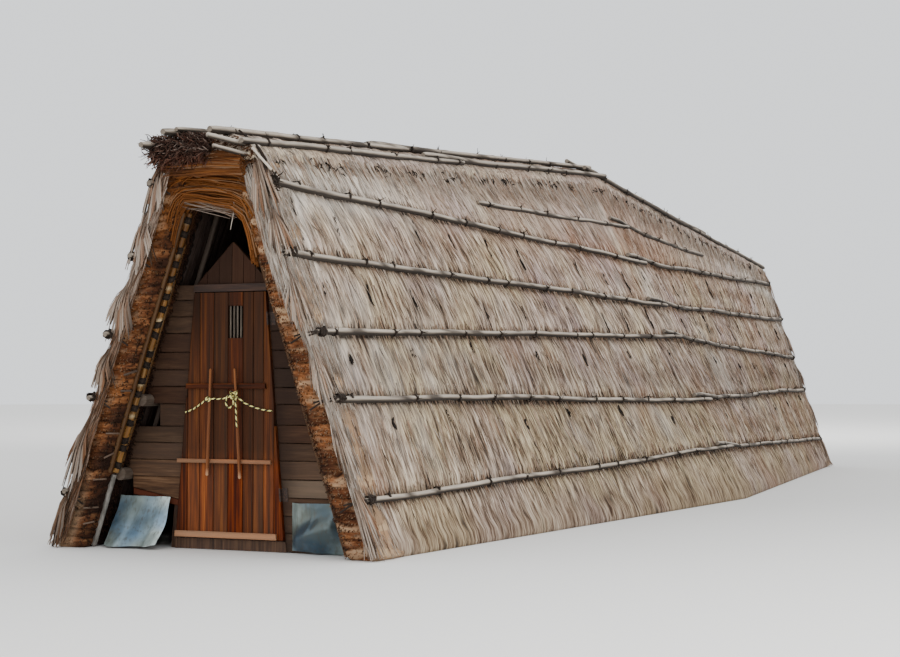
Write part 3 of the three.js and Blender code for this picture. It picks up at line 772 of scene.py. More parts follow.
def addPoles():
    rng = np.random.default_rng(7)
    past = poleFacts["pastCrease"]
    ties, seed = [], 0
    for sideName, side in sides.items():
        for name, (_, _, radius, begin) in flankPoles.items():
            parts = []
            for end in ends.values():
                seed += 1
                line = flankLine(side, name, end)
                # at the entrance's left corner the ends reach past the verge
                behind = -0.10 - 0.05 * rng.random() if (side < 0 and end < 0 and begin < 1) else begin
                behind = behind - 0.10 * (side > 0 and name in ("upper", "high"))
                start, over = end * (halfLength - behind), past if end < 0 else -past * 0.8
                # the rear pole rides up beside the front one where they lap at the crease
                rise = ((-1.1, -0.1), (0, 0.066 * (end > 0)))
                parts.append(polePart(line, start, over, radius, rise, 0.0, seed, rng))
                ties += tiesAlong(line, radius, start - end * 0.35, end * 0.12, rng)
                if begin < 1:
                    ties += edgeKnot(line, radius, start, end, rng)
            makePiece(f"straw_pole_{sideName}_{name}", parts, poleWood,
                      replaces=[f"pole_{sideName}_{name}"], sharp=50)
    for name, (_, radius, reach) in ridgePoles.items():
        parts = []
        for end in ends.values():
            line = capLine(name, end)
            tip, joint = end * (halfLength + reach), end * (5.4 if "crown" in name else 4.6)
            # the inner length lies beside the outer one at the splice, and at the crease beside that of the
            # other half
            far = -abs(joint)
            beside = ((far - 0.2, far + 0.9, -1.0, -0.1), (0.05, 0, 0, 0.06 * (end > 0)))
            lengths = [(tip, joint - end * 0.45, radius, straight, 0.0),
                       (joint + end * 0.45, -end * past, radius, beside, 0.012)]
            if name == "left_crown":
                # a short length tied on beside the end
                lengths.append((tip - end * 0.12, tip - end * 0.62, 0.024, ((-9, 9), (-0.06, -0.06)), 0.014))
            for length in lengths:
                seed += 1
                parts.append(polePart(line, *length, seed, rng))
            ties += tiesAlong(line, radius, tip - end * 0.45, end * 0.45, rng)
        makePiece(f"straw_pole_ridge_{name}", parts, poleWood, replaces=[f"ridge_pole_{name}"], sharp=50)
    makePiece("pole_ties", ties, tieCord)


addPoles()


# Thatch of the flanks

flankFacts = {
    "columns": 400,
    "stalks": 8200,
    "stalkLength": (0.13, 0.36),
    "stalkRadius": 0.0055,
    # below the lower poles holes, below the upper ones slots drawn out along the straw: how often, how far
    # below the pole, width and height of the gap and of its wad of cord, half length and radius of a cord
    "holes": (1.27, 0.19, (0.032, 0.045), (0.014, 0.022), (0.030, 0.013)),
    "slots": (0.74, 0.25, (0.022, 0.10), (0.007, 0.055), (0.055, 0.0095)),
    "gapReach": 8.3,
    "tieReach": 8.1,
    "tieCords": 7,
    "fanAbove": 1.9,
}


def poleHeights(share):
    return [mix(z0, z1, share) for z0, z1, _, _ in flankPoles.values()][:5]


def gapsBelow(k):
    # the gaps in the course below pole number k + 1: y, drop below the pole, strength, and their sizes
    every, drop, *gapSizes = flankFacts["holes" if k < 2 else "slots"]
    last = int(flankFacts["gapReach"] / every)
    index = np.arange(-last, last + 1)
    y = (index - 0.31 * k) * every + 0.16 * every * corner(index, k, 3)
    return y, drop + 0.09 * corner(index, k, 4), 0.6 + 0.4 * corner(index, k, 6), gapSizes


def gapMask(y, z, share):
    # 1 at each tie that is sewn through the straw below a pole, fading over the gap's width and height
    mask = 0 * z
    for k, height in enumerate(poleHeights(share)[1:]):
        place, drop, strength, ((wide, tall), _, _) = gapsBelow(k)
        near = np.searchsorted((place[1:] + place[:-1]) / 2, y)
        spot = hump(y, place[near], wide) * hump(z - height, -drop[near], tall)
        mask = np.maximum(mask, spot * strength[near])
    return mask


def sewnTies(side, rng):
    # the cord that shows in each gap: a few short lengths in a wad
    parts = []
    for k in range(4):
        y, drop, strength, (_, (wide, tall), (length, radius)) = gapsBelow(k)
        keep = (np.abs(y) < flankFacts["tieReach"]) & (strength > 0.35)
        y, drop, strength = (np.repeat(values[keep], flankFacts["tieCords"])
                             for values in (y, drop, strength))
        share, number = shareOf(y), len(y)
        z = poleHeights(share)[k + 1] - drop
        y = y + wide * rng.normal(size=number)
        z = z + tall * rng.normal(size=number)
        lift = 0.010 + 0.006 * rng.random(number)
        half = length * strength * rng.uniform(0.6, 1.2, number)
        swing = 0.010 * rng.normal(size=number)
        base, tip = (flankPoint(side, y + way * swing, z - way * half,
                                strawRelief(y, z - way * half, share) + lift, share) for way in (-1, 1))
        parts.append(stalks(base, tip, radius * strength, rng, (0.6, 0, 0), (0.5, 1, 0.4)))
    return parts


def fanOut(y, z, rate, power):
    # how the straw leans aside of the slope's fall line: nothing low down, then rate (z - 1.9)^power, with
    # its lower end toward the crease
    return np.sign(y) * ease(np.abs(y), 0, 1.5) * rate * np.maximum(z - flankFacts["fanAbove"], 0) ** power


def strawLean(y, z):
    return fanOut(y, z, 0.19, 2)


def strawTone(y, z, share):
    # shares of dark, rust and pale at a place on the slope: a pole's painted shadow under it, painted shade
    # in the gaps, damp and litter low down
    up = z / sizeAt("seat", share)
    litter = ease(0.42 - z, 0.0, 0.3)
    dark = 0 * z
    for height in poleHeights(share):
        below = height - z
        fading = np.exp(-np.maximum(below - 0.036, 0) / 0.010)
        dark = np.maximum(dark, 0.95 * ease(below, -0.03, 0.01) * fading)
    # painted shade in the gaps where ties are sewn through
    dark = np.maximum(dark * (0.8 + 0.2 * noise(y / 0.12, z / 0.5, 31)), 0.95 * gapMask(y, z, share))
    dark = dark + 0.18 * ease(patches(y, z, 0.6, 32), 0.2, 0.9)
    # painted shade in single gaps between tufts, 20 mm wide and 0.2 m long
    dark = dark + 0.55 * ease(noise((y - strawLean(y, z)) / 0.045, z / 0.2, 36), 0.6, 0.95)
    dark = dark + 0.25 * litter + 0.12 * ease(2.9 - z, 0.0, 1.2)
    dark = dark + 0.18 * hump(z, 1.45, 0.30) + 0.06 * hump(z, 0.65, 0.2)
    rust = 0.75 * ease(up, 0.6, 0.95) * ease(share, 0.4, 0.95) * ease(patches(y, z, 0.7, 33), -0.5, 0.7)
    rust = rust + 0.35 * ease(patches(y, z, 1.1, 34), 0.1, 0.9) + 0.15 * litter
    rust = rust + 0.22 * ease(z, 2.6, 3.1) * ease(share, 0.15, 0.4)
    pale = 0.35 * ease(patches(y, z, 0.8, 35), 0.1, 0.9) * ease(z, 0.3, 0.9) + 0.25 * ease(up, 0.80, 0.92)
    pale = pale + 0.3 * ease(np.abs(y), 7.7, 8.1) * ease(z, 2.0, 2.3)
    pale = pale + 0.3 * ease(np.abs(y), 5.5, 7) * ease(z, 2.85, 3)
    return stack(np.clip(dark, 0, 0.95), np.clip(rust, 0, 0.8), np.clip(pale, 0, 0.6))


def strawRelief(y, z, share):
    # slow swell, tufts 70 mm wide and fibres 35 mm wide, pinched where poles and ties hold the straw down
    # and a little prouder just above a pole, where the next course's ends lie
    along, row = z * rakeAt(share), y - strawLean(y, z)
    lift = 0.014 * patches(y, along, 1.1, 41) + 0.007 * noise(row / 0.075, along / 0.45, 42)
    lift = lift + 0.009 * noise(row / 0.036, along / 0.20, 43) + 0.012
    for height in poleHeights(share):
        lift = lift - 0.018 * hump(z, height, 0.09) + 0.008 * hump(z, height + 0.12, 0.07)
    return lift - 0.02 * gapMask(y, z, share) + 0.03 * ease(0.22 - z, 0.0, 0.22)


def onStraw(side, y, z, lift, share):
    return flankPoint(side, y, z, strawRelief(y, z, share) + lift, share)


def rowHeights(share):
    # rows close together over and under each pole and even between, so that a pole's shade is sharp
    near = (-0.15, -0.09, -0.055, -0.03, 0.0, 0.045, 0.10)
    last = 0 * share + 0.03
    rows = [0 * share, last]
    for height in poleHeights(share):
        gap = height + near[0] - last
        rows += [last + gap * k / 4 for k in (1, 2, 3)] + [height + step for step in near]
        last = rows[-1]
    seat = sizeAt("seat", share)
    return np.concatenate(rows + [(last + seat) / 2, seat], axis=1)


def flankShell(side, end, first):
    # the outer face from foot to seat with its relief, then the plain inner face back down
    share = np.linspace(first, 1, flankFacts["columns"])[:, None]
    y, z, seat = end * np.maximum(halfLength * (1 - share), 0.00015), rowHeights(share), sizeAt("seat", share)
    grip = ease(z / seat, 0.0, 0.02) * ease(1 - z / seat, 0.0, 0.02)
    outer = flankPoint(side, y + 0 * z, z, strawRelief(y, z, share) * grip, share + 0 * z)
    outer[..., 2] = np.maximum(outer[..., 2], 0.0)
    inside, along = np.linspace(1, 0, 7)[None, :] * seat, z * rakeAt(share)
    hue = 0.05 + 0.05 * patches(y, along, 0.9, 44) - 0.02 * ease(1.6 - z, 0.0, 0.5)
    faces = ((outer, stack(side * innerAt(share, inside), y, inside)),
             (stack(y - strawLean(y, z), along, hue), stack(y, inside, 0.5)),
             (strawTone(y + 0 * z, z, share + 0 * z), stack(0.9 + 0 * inside, 0.3, 0)))
    return shell(*(np.concatenate(pair, axis=1)[None] for pair in faces))


def flankStalks(side, end, number, rng):
    # stalks that lie down the slope, a little aside of each other, each lifted at its lower end
    share = rng.uniform(0.003, 1, number)
    y = end * halfLength * (1 - share)
    z = rng.uniform(0.12, 0.985, number) * sizeAt("seat", share)
    length = rng.uniform(*flankFacts["stalkLength"], number)
    lean = rng.normal(size=number) * 0.11 - fanOut(y, z, 0.38, 1)
    keep = gapMask(y, z - 0.4 * length, share) + gapMask(y, z - 0.8 * length, share) < 0.25
    share, y, z, length, lean = (values[keep] for values in (share, y, z, length, lean))
    y2, z2 = y + length * np.sin(lean), np.maximum(z - length * np.cos(lean) * 0.94, 0.01)
    share2 = np.clip(shareOf(y2), 0, 1)
    raised = rng.uniform(0.0, 0.010, len(y)) + 0.025 * (rng.random(len(y)) < 0.07)
    radius = flankFacts["stalkRadius"] * rng.uniform(0.6, 1.5, len(y))
    return blades(onStraw(side, y, z, -0.004, share), onStraw(side, y2, z2, raised, share2), radius,
                  strawTone(y, z, share) * 0.8, rng, strawTone(y2, z2, share2) * 0.8)


def addFlanks():
    rng = np.random.default_rng(11)
    for sideName, side in sides.items():
        for endName, end in ends.items():
            first = (hut["vergeDepth"] - 0.03) / halfLength if end < 0 else 0.0
            makePiece(f"thatch_{sideName}_{endName}_straw", [flankShell(side, end, first)], thatchStraw,
                      replaces=[f"thatch_{sideName}_{endName}"])
            loose = flankStalks(side, end, flankFacts["stalks"], rng)
            makePiece(f"loose_straw_{sideName}_{endName}", [loose], looseStraw)
        makePiece(f"sewn_ties_{sideName}", sewnTies(side, rng), tieCord)


addFlanks()


# Verges: a band of packed straw round each gable edge, in courses, with tufts of bleached straw hung over it

vergeFacts = {
    "rows": 240,
    "course": 0.072,
    "round": 0.045,
    "depth": {"front": 0.35, "rear": 0.14},
    "locks": 14,
    "lockStalks": 13,
    "packedFront": 2600,
    "packedInner": 1700,
    "drape": 4200,
    "splay": 240,
    "rearShare": 0.4,
    # tufts tied below the poles' ends: height of the tie, length, reach out past the verge's corner and
    # reach in over its face
    "left": ((3.24, 0.46, 0.03, 0.14), (2.78, 0.38, 0.08, 0.20), (2.22, 0.41, 0.14, 0.22),
             (1.66, 0.30, 0.10, 0.15), (1.10, 0.60, 0.12, 0.12), (0.52, 0.50, 0.08, 0.11)),
    "right": ((3.22, 0.42, 0.02, 0.15), (2.78, 0.34, 0.02, 0.10), (2.22, 0.36, 0.02, 0.11),
              (1.66, 0.38, 0.03, 0.085), (1.10, 0.45, 0.02, 0.045), (0.52, 0.50, 0.03, 0.03)),
}


def vergeProfile(depth):
    # across (0 outer face, 1 inner face) and metres behind the front, round the band's section from its
    # outer back, with the direction that each point faces
    r, wide = vergeFacts["round"], thickness
    turn = np.linspace(0, np.pi / 2, 4)
    line = np.concatenate([
        stack(0.0, np.linspace(depth, r + 0.03, 5)),
        stack(r - r * np.cos(turn), r - r * np.sin(turn)),
        stack(np.linspace(r, wide - r, 8)[1:-1], 0.0),
        stack(wide - r + r * np.sin(turn), r - r * np.cos(turn)),
        stack(wide, np.linspace(r + 0.03, depth, 6)),
        stack(np.linspace(wide, 0, 4)[1:-1], depth)])
    tangent = unit(np.roll(line, -1, axis=0) - np.roll(line, 1, axis=0))
    facing = stack(tangent[:, 1], -tangent[:, 0])
    facing[-2:] = 0
    return line[:, 0] / wide, line[:, 1], facing


def courseLift(u, z):
    # thin bundles stacked up the slope, round in section, with small lumps on them and grooves between
    # them. Gives the lift, how deep in a groove a place is, and the bundle's own number from -1 to 1
    level = z / vergeFacts["course"] + 0.7 * patches(u, z, 0.35, 51)
    row = np.floor(level)
    rounded = np.sqrt(np.clip(1 - (2 * (level - row) - 1) ** 2, 0, 1))
    lump = noise(u / 0.07 + row * 7.3, z / 0.045, 52)
    lift = 0.022 * rounded + 0.008 * lump + 0.014 * patches(u, z, 0.25, 53)
    return lift, ease(0.75 - rounded - 0.15 * lump, 0, 0.6), corner(row.astype(np.int64), 3, 58)


def packedPaintedShade(side, across, z):
    # painted shade: the imported face darkens toward the opening and by the foot, and on the left is painted
    # lighter toward the outer edge and between 1.45 and 2.4 m
    if side > 0:
        return 0.42 * ease(across, 0.55, 1.0) * ease(2.1 - z, 0.0, 0.5) - 0.12
    light = 0.14 * ease(z, 1.45, 1.6) * ease(2.4 - z, 0.0, 0.15)
    return 0.58 * ease(across, 0.45, 1.0) + 0.12 * ease(1.2 - z, 0.0, 0.6) - 0.12 * (1 - across) - light


def footDust(side, across, z):
    # grey with dust at the left foot, on the half toward the flank
    return 0.5 * ease(0.7 - z, 0.0, 0.4) * (side < 0) * ease(0.75 - across, 0.0, 0.3)


def vergeShell(side, end, depth):
    # the section carried up the slope: the outer face has the flank's own relief, front and inner face
    # the bundles
    across, behind, facing = (values[None] for values in vergeProfile(depth))
    z = np.linspace(0, vergeSeat - 0.004, vergeFacts["rows"])[:, None] + 0 * across
    y = end * (halfLength - 0.015 - behind) + 0 * z
    share, along = shareOf(y), across * thickness + behind
    lift, shade, own = courseLift(along, z)
    outside = ease(0.25 - across, 0, 0.25)
    inside = 1 - outside
    swell = mix(lift, strawRelief(y, z, share) - 0.004, outside) * ease(z, 0.0, 0.03)
    x = outerAt(share, z) - across * thickness * rakeAt(share) - facing[..., 0] * swell
    points = stack(side * x, y - end * facing[..., 1] * swell, z)
    # the bundles' straw runs across the slope and the outer face's down it
    flow = stack(mix(z, along, outside), mix(along, z, outside), 0.5 + 0.3 * own)
    dust = footDust(side, across, z) * inside
    # painted shade: darker in the grooves between bundles, deeper behind the front, at the right band's inner
    # edge and toward the opening
    dark = 0.02 + 0.7 * shade + 0.45 * ease(behind, 0.05, 0.3) + 0.2 * patches(along, z, 0.2, 55) - 0.18 * own
    dark = dark + packedPaintedShade(side, across, z) + 0.2 * (side > 0) * ease(across, 0.9, 1.0) - 0.3 * dust
    orange = 0.35 * ease(patches(along, z, 0.3, 56), -0.2, 0.9) + 0.3 * ease(z, 2.2, 3.1)
    orange = orange * ease(z, 0.2, 1.4) * (1 if side < 0 else 0.5)
    bleached = ease(noise(along / 0.09, z / 0.045, 57) + own, -0.1, 1.1)
    pale = (0.4 if side < 0 else 0.65) * bleached * (1 - shade)
    pale = np.maximum(pale * (1 if side > 0 else 1 - ease(across, 0.45, 0.85)), dust)
    tone = stack(np.clip(dark, 0, 0.92) * inside + 0.12 * outside, orange * inside, pale + 0.55 * outside)
    return shell(points[None], flow[None], tone[None])


def packedEnds(side, end, number, rng, onFront):
    # cut ends of the imported straw, pointing out and down; painted shade at the root and lighter at the cut
    across = rng.random(number)
    if onFront:
        across = 0.12 + 0.88 * across
    along = across * thickness if onFront else thickness + 0.33 * across
    z = rng.uniform(0.03, 3.14, number)
    lift, shade, own = courseLift(along, z)
    wide = thickness * rakeAt(0.0)
    if onFront:
        x = outerAt(0.0, z) - wide * across
        y = halfLength - 0.025 + lift
        aim = np.array([-0.1, 0.72, -0.62])
    else:
        x = outerAt(0.0, z) - wide + 0.012 - lift
        y = halfLength - 0.03 - across * 0.30
        aim = np.array([-0.6, 0.25, -0.62])
        # none where the pipe stands
        clear = (side > 0) | (z > 0.66) | (np.abs(y - halfLength + 0.15) > 0.06)
        x, y, z, across, shade, own = (values[clear] for values in (x, y, z, across, shade, own))
    number = len(z)
    aim = unit(aim + 0.22 * rng.normal(size=(number, 3)))
    flip = np.array([side, end, 1.0])
    base = stack(x, y, z) * flip
    tip = base + aim * flip * (rng.uniform(0.012, 0.030, number) * (1 - 0.4 * shade))[:, None]
    rust = np.clip(0.35 * rng.random(number) * ease(z, 0.2, 1.4) + 0.3 * ease(z, 1.8, 3.0), 0, 1)
    # painted shade: deeper on the inner face, in the grooves and toward the opening
    paintedShade = packedPaintedShade(side, across if onFront else 1.0, z)
    deep = (0.12 if onFront else 0.35 + 0.35 * across) + 0.5 * shade - 0.25 * own
    deep = deep + paintedShade + 0.15 * (side > 0) * (not onFront)
    root = stack(np.clip(0.30 + 0.4 * shade + paintedShade, 0, 0.9), rust, 0)
    pale = 0.5 * (rng.random(number) < (0.25 if side < 0 else 0.45)) * (1 if onFront else 0.6)
    dust = footDust(side, across, z) * onFront
    dark = np.clip(deep + 0.3 * rng.random(number) - 0.4 * dust, 0, 0.9)
    bright = stack(dark, rust * (1 - dust), np.maximum(pale, dust))
    return stalks(base, tip, rng.uniform(0.0035, 0.0075, number), rng, root, (1, 0.9), toneTip=bright)


def vergeTufts(side, end, table, rng, scale):
    # bleached straw in fans: flat locks with gaps between them, each from a small patch at the tie to a
    # place of its own below, over a layer of dark stalks that shows in the gaps as painted shade
    parts = []
    left, flip = side < 0, np.array([side, end, 1.0])
    locks, each = vergeFacts["locks"], max(5, int(vergeFacts["lockStalks"] * scale))
    for tie, reach, out, inward in table:
        lock = np.concatenate([np.repeat(np.arange(locks), each), rng.integers(0, locks, locks * each // 3)])
        number = len(lock)
        paintedUnderShade = np.arange(number) >= locks * each
        own = np.linspace(-1, 1, locks) + 0.05 * rng.normal(size=locks)
        ownLength = reach * (1.05 - 0.25 * own ** 2) * rng.uniform(0.70, 1.15, locks)
        within = rng.uniform(-1, 1, number)
        aside = own[lock] + np.where(paintedUnderShade, 0.25, 0.038) * within
        length = ownLength[lock] * (1 - 0.05 * within ** 2) * rng.uniform(0.82, 1.06, number)
        before, beyond = np.maximum(aside, 0), np.maximum(-aside, 0)
        z = tie + 0.02 * rng.normal(size=number)
        z2 = np.maximum(z - np.where(paintedUnderShade, 0.8 * reach, length), 0.01)
        base = vergePoint(0.04 - 0.05 * beyond, z, 0.018 - 0.03 * before)
        raised = np.where(paintedUnderShade, 0.012, 0.035 + 0.012 * rng.normal(size=locks)[lock])
        ahead = np.where(paintedUnderShade, 0.03, 0.075) - 0.12 * beyond + 0.02 * before
        tip = vergePoint(ahead, z2, raised + out * beyond - inward * before)
        kind = rng.random(locks)[lock]
        dark = 0.7 * (kind < 0.15) + 0.15 * rng.random(number) + 0.45 * ease(1.0 - z2, 0.0, 0.9) * left
        pale = 0.62 * (kind > 0.4) * rng.uniform(0.0, 1.0, number) + 0.1 * ease(z2, 1.4, 2.0) * left
        tone = stack(dark, 0.55 * ((kind > 0.15) & (kind < 0.4)) + (0.22 if left else 0.12), pale)
        # the under layer is painted dark: shade in the gaps between locks
        tone[paintedUnderShade] = (0.85, 0.3, 0.0) if left else (0.4, 0.2, 0.1)
        root = (0.6, 0.2, 0) if left else (0.3, 0.2, 0.1)
        parts.append(stalks(base * flip, tip * flip, rng.uniform(0.0032, 0.0058, number), rng, root,
                            (0.7, 1, 0.8), bow=np.array([0.014, 0.022, 0.0]) * flip, toneTip=tone))
    return parts


def vergeDrape(side, end, number, reach, rng):
    # straw along the band's outer face and round its corner. The reach is how far in over the front it
    # lies below and above a height, and that height
    back = rng.uniform(-0.25, 0.40, number)
    z = rng.uniform(0.2, 3.22, number)
    low, high, edge = reach
    over = mix(low, high, ease(z, edge - 0.4, edge + 0.4)) * np.maximum(-back, 0) / 0.25
    ahead = 0.055 * ease(-back, 0.0, 0.06) - np.maximum(back, 0)
    z2 = np.maximum(z - rng.uniform(0.12, 0.34, number), 0.01)
    tip = vergePoint(ahead + 0.03 * rng.random(number), z2,
                     0.020 + 0.016 * rng.random(number) - over * rng.uniform(0.8, 1.3, number))
    kind = rng.random(number)
    if side < 0:
        # damp and red below, drier above
        up = ease(z, 1.7, 2.3)
        dark = mix(0.6 * (kind < 0.3) + 0.25 * rng.random(number), 0.55 * (kind < 0.35), up)
        tone = stack(dark + 0.3 * ease(1.0 - z, 0.0, 0.6), mix(0.5 * (kind > 0.4) + 0.25, 0.42, up),
                     mix(0.2 * (kind > 0.8), 0.30 * (kind > 0.5), up))
    else:
        dark = 0.6 * (kind < 0.10) + 0.10 * rng.random(number)
        tone = stack(dark, 0.4 * (kind > 0.85) + 0.05, 0.9 * rng.random(number))
    flip = np.array([side, end, 1.0])
    return blades(vergePoint(ahead, z, 0.012 - over) * flip, tip * flip, rng.uniform(0.0035, 0.0065, number),
                  tone, rng)


def footSplay(side, end, number, rng):
    # the lowest straw bends out over the ground in a fan
    back = rng.uniform(0.0, 0.4, number)
    z = rng.uniform(0.18, 0.42, number)
    base = vergePoint(-back, z, 0.01)
    tip = base + stack(rng.uniform(0.05, 0.15, number), rng.uniform(-0.05, 0.12, number),
                       -z * rng.uniform(0.85, 1, number))
    tone = 0.3 * rng.random((3, number)).T
    flip = np.array([side, end, 1.0])
    return stalks(base * flip, tip * flip, rng.uniform(0.003, 0.0055, number), rng, tone, (0.8, 1, 0.5),
                  bow=(0, 0, 0.01))


def addVerges():
    rng = np.random.default_rng(23)
    for sideName, side in sides.items():
        for endName, end in ends.items():
            front = end < 0
            name, scale = f"{sideName}_{endName}", 1.0 if front else vergeFacts["rearShare"]
            drape, inFront, inner = (int(vergeFacts[key] * scale)
                                     for key in ("drape", "packedFront", "packedInner"))
            band = vergeShell(side, end, vergeFacts["depth"][endName])
            makePiece(f"verge_{name}_straw", [band], packedStraw,
                      replaces=[f"verge_{sideName}_front"] if front else ())
            packed = [packedEnds(side, end, inFront, rng, True), packedEnds(side, end, inner, rng, False)]
            makePiece(f"packed_ends_{name}", packed, packedStraw)
            tufts = vergeTufts(side, end, vergeFacts[sideName if front else "right"], rng, scale)
            reach = (0.11, 0.13, 2.3) if (front and side < 0) else (0.025, 0.15, 2.1)
            tufts += [vergeDrape(side, end, drape, reach, rng),
                      footSplay(side, end, vergeFacts["splay"], rng)]
            makePiece(f"verge_tufts_{name}", tufts, looseStraw)


addVerges()


# Ridge cap, crown and the shaggy clump at the entrance

capFacts = {
    "columns": 560,
    "arc": 24,
    "arcRadius": 0.42,
    # number, and how far from mid-length they begin at most
    "stalks": (5200, 8.46),
    "fringe": (3400, 8.47),
    "end": 8.5,
    "knotReach": 8.0,
    "knotEvery": 0.40,
    "knotCords": 5,
}
crownCounts = {"arch": 640, "roll": 900, "clump": 1900, "sheaf": 480}
# heart at the rear, half sizes, and the seed of the bumps
crownLumps = (((-0.06, 8.55, 3.33), (0.13, 0.07, 0.07), 3), ((-0.30, 8.59, 3.31), (0.15, 0.08, 0.08), 8))


def capPoint(angle, y, lift):
    # (a cos, y, seat + b sin) moved along the ellipse's normal by lift
    share = shareOf(y)
    rise = sizeAt("rise", share)
    normal = unit(stack(np.cos(angle) / capHalf, 0 * angle + 0 * y, np.sin(angle) / rise))
    point = stack(capHalf * np.cos(angle), y + 0 * angle, sizeAt("seat", share) + rise * np.sin(angle))
    return point + normal * np.asarray(lift)[..., None]


def capRelief(y, angle):
    arc = angle * capFacts["arcRadius"]
    slow = 0.01 + 0.012 * noise(y / 0.9, arc / 0.5, 61)
    return slow + 0.009 * noise(y / 0.07, arc / 0.5, 62) + 0.006 * noise(y / 0.033, arc / 0.3, 63)


def capTone(y, angle):
    rust = 0.7 * ease(shareOf(y), 0.45, 0.95) * ease(noise(y / 0.7, angle, 33), -0.4, 0.7)
    rust = rust + 0.25 * ease(noise(y / 0.8, angle, 64), 0.2, 0.8)
    dark = 0.3 * ease(noise(y / 0.4, angle, 65), 0.2, 0.9)
    return stack(dark + 0.4 * ease(noise(y / 0.05, angle / 0.6, 66), 0.6, 0.95), rust, 0.15)


def capShell():
    limit = halfLength + hut["capOverhang"]
    y = np.linspace(-limit, limit, capFacts["columns"])[:, None]
    angle = np.linspace(0, np.pi, capFacts["arc"])[None, :]
    edge = ease(limit - np.abs(y), 0, 0.05)
    points = capPoint(angle, y, mix(-0.03, capRelief(y, angle), edge))
    flow = stack(y, angle * capFacts["arcRadius"], 0.05 + 0.04 * noise(y / 0.8, angle, 67))
    return shell(points[None], flow[None], capTone(y, angle)[None])


def capKnots(rng):
    # short dark cords in small irregular chains along the cap's lower edge, every 0.4 m or so
    parts = []
    for side in sides.values():
        place = np.arange(-capFacts["knotReach"], capFacts["knotReach"] + 0.1, capFacts["knotEvery"])
        place = np.repeat(place + 0.13 * rng.normal(size=len(place)), capFacts["knotCords"])
        number = len(place)
        y = place + 0.055 * rng.normal(size=number)
        share = shareOf(y)
        z = sizeAt("seat", share) - 0.03 + 0.022 * rng.normal(size=number)
        half = rng.uniform(0.012, 0.045, number)
        turn = rng.normal(size=number) * 0.7
        lift = rng.uniform(0.030, 0.042, number)
        base, tip = (flankPoint(side, y + way * np.cos(turn), z + way * np.sin(turn), lift, share)
                     for way in (-half, half))
        parts.append(stalks(base, tip, rng.uniform(0.004, 0.009, number), rng, (0.4, 0, 0), (0.6, 1, 0.5),
                            bow=(0, 0, 0.008)))
    return parts


def capStalks(number, reach, rng):
    # stalks laid over the cap from near the ridge down both sides
    y = rng.uniform(-reach, reach, number)
    side = np.sign(rng.random(number) - 0.5)
    high = rng.uniform(0.12, 1.4, number)
    low = np.maximum(high - rng.uniform(0.25, 0.6, number), -0.05)
    turn, turn2 = (np.where(side > 0, angle, np.pi - angle) for angle in (high, low))
    y2 = y + 0.035 * rng.normal(size=number) - 0.09 * np.sign(y) * ease(np.abs(y), 0, 1.5)
    y2 = np.clip(y2, -capFacts["end"], capFacts["end"])
    base = capPoint(turn, y, capRelief(y, turn) + 0.001)
    tip = capPoint(turn2, y2, capRelief(y2, turn2) + rng.uniform(0.002, 0.014, number))
    return blades(base, tip, rng.uniform(0.004, 0.007, number), capTone(y, turn), rng, capTone(y2, turn2))


def capFringe(number, reach, rng):
    # straw ends that hang from the cap's edge over the top of each flank
    y = rng.uniform(-reach, reach, number)
    flip = stack(np.sign(rng.random(number) - 0.5), 1, 1)
    share = np.clip(shareOf(y), 0, 1)
    z = sizeAt("seat", share) + rng.uniform(0.0, 0.07, number)
    base = capPoint(np.full(number, 0.12), y, np.full(number, 0.012))
    base[:, 2] = z
    y2 = y + 0.04 * rng.normal(size=number) - 0.11 * np.sign(y) * ease(np.abs(y), 0, 1.5)
    tip = flankPoint(1, y2, z - rng.uniform(0.12, 0.36, number), 0.02 + rng.uniform(0.0, 0.012, number),
                     np.clip(shareOf(y2), 0, 1))
    rust = 0.6 * ease(share, 0.5, 0.95) * rng.random(number) + 0.15 * rng.random(number)
    tone = stack(0.15 * rng.random(number), rust, 0.5 * rng.random(number))
    return blades(base * flip, tip * flip, rng.uniform(0.004, 0.007, number), tone, rng)


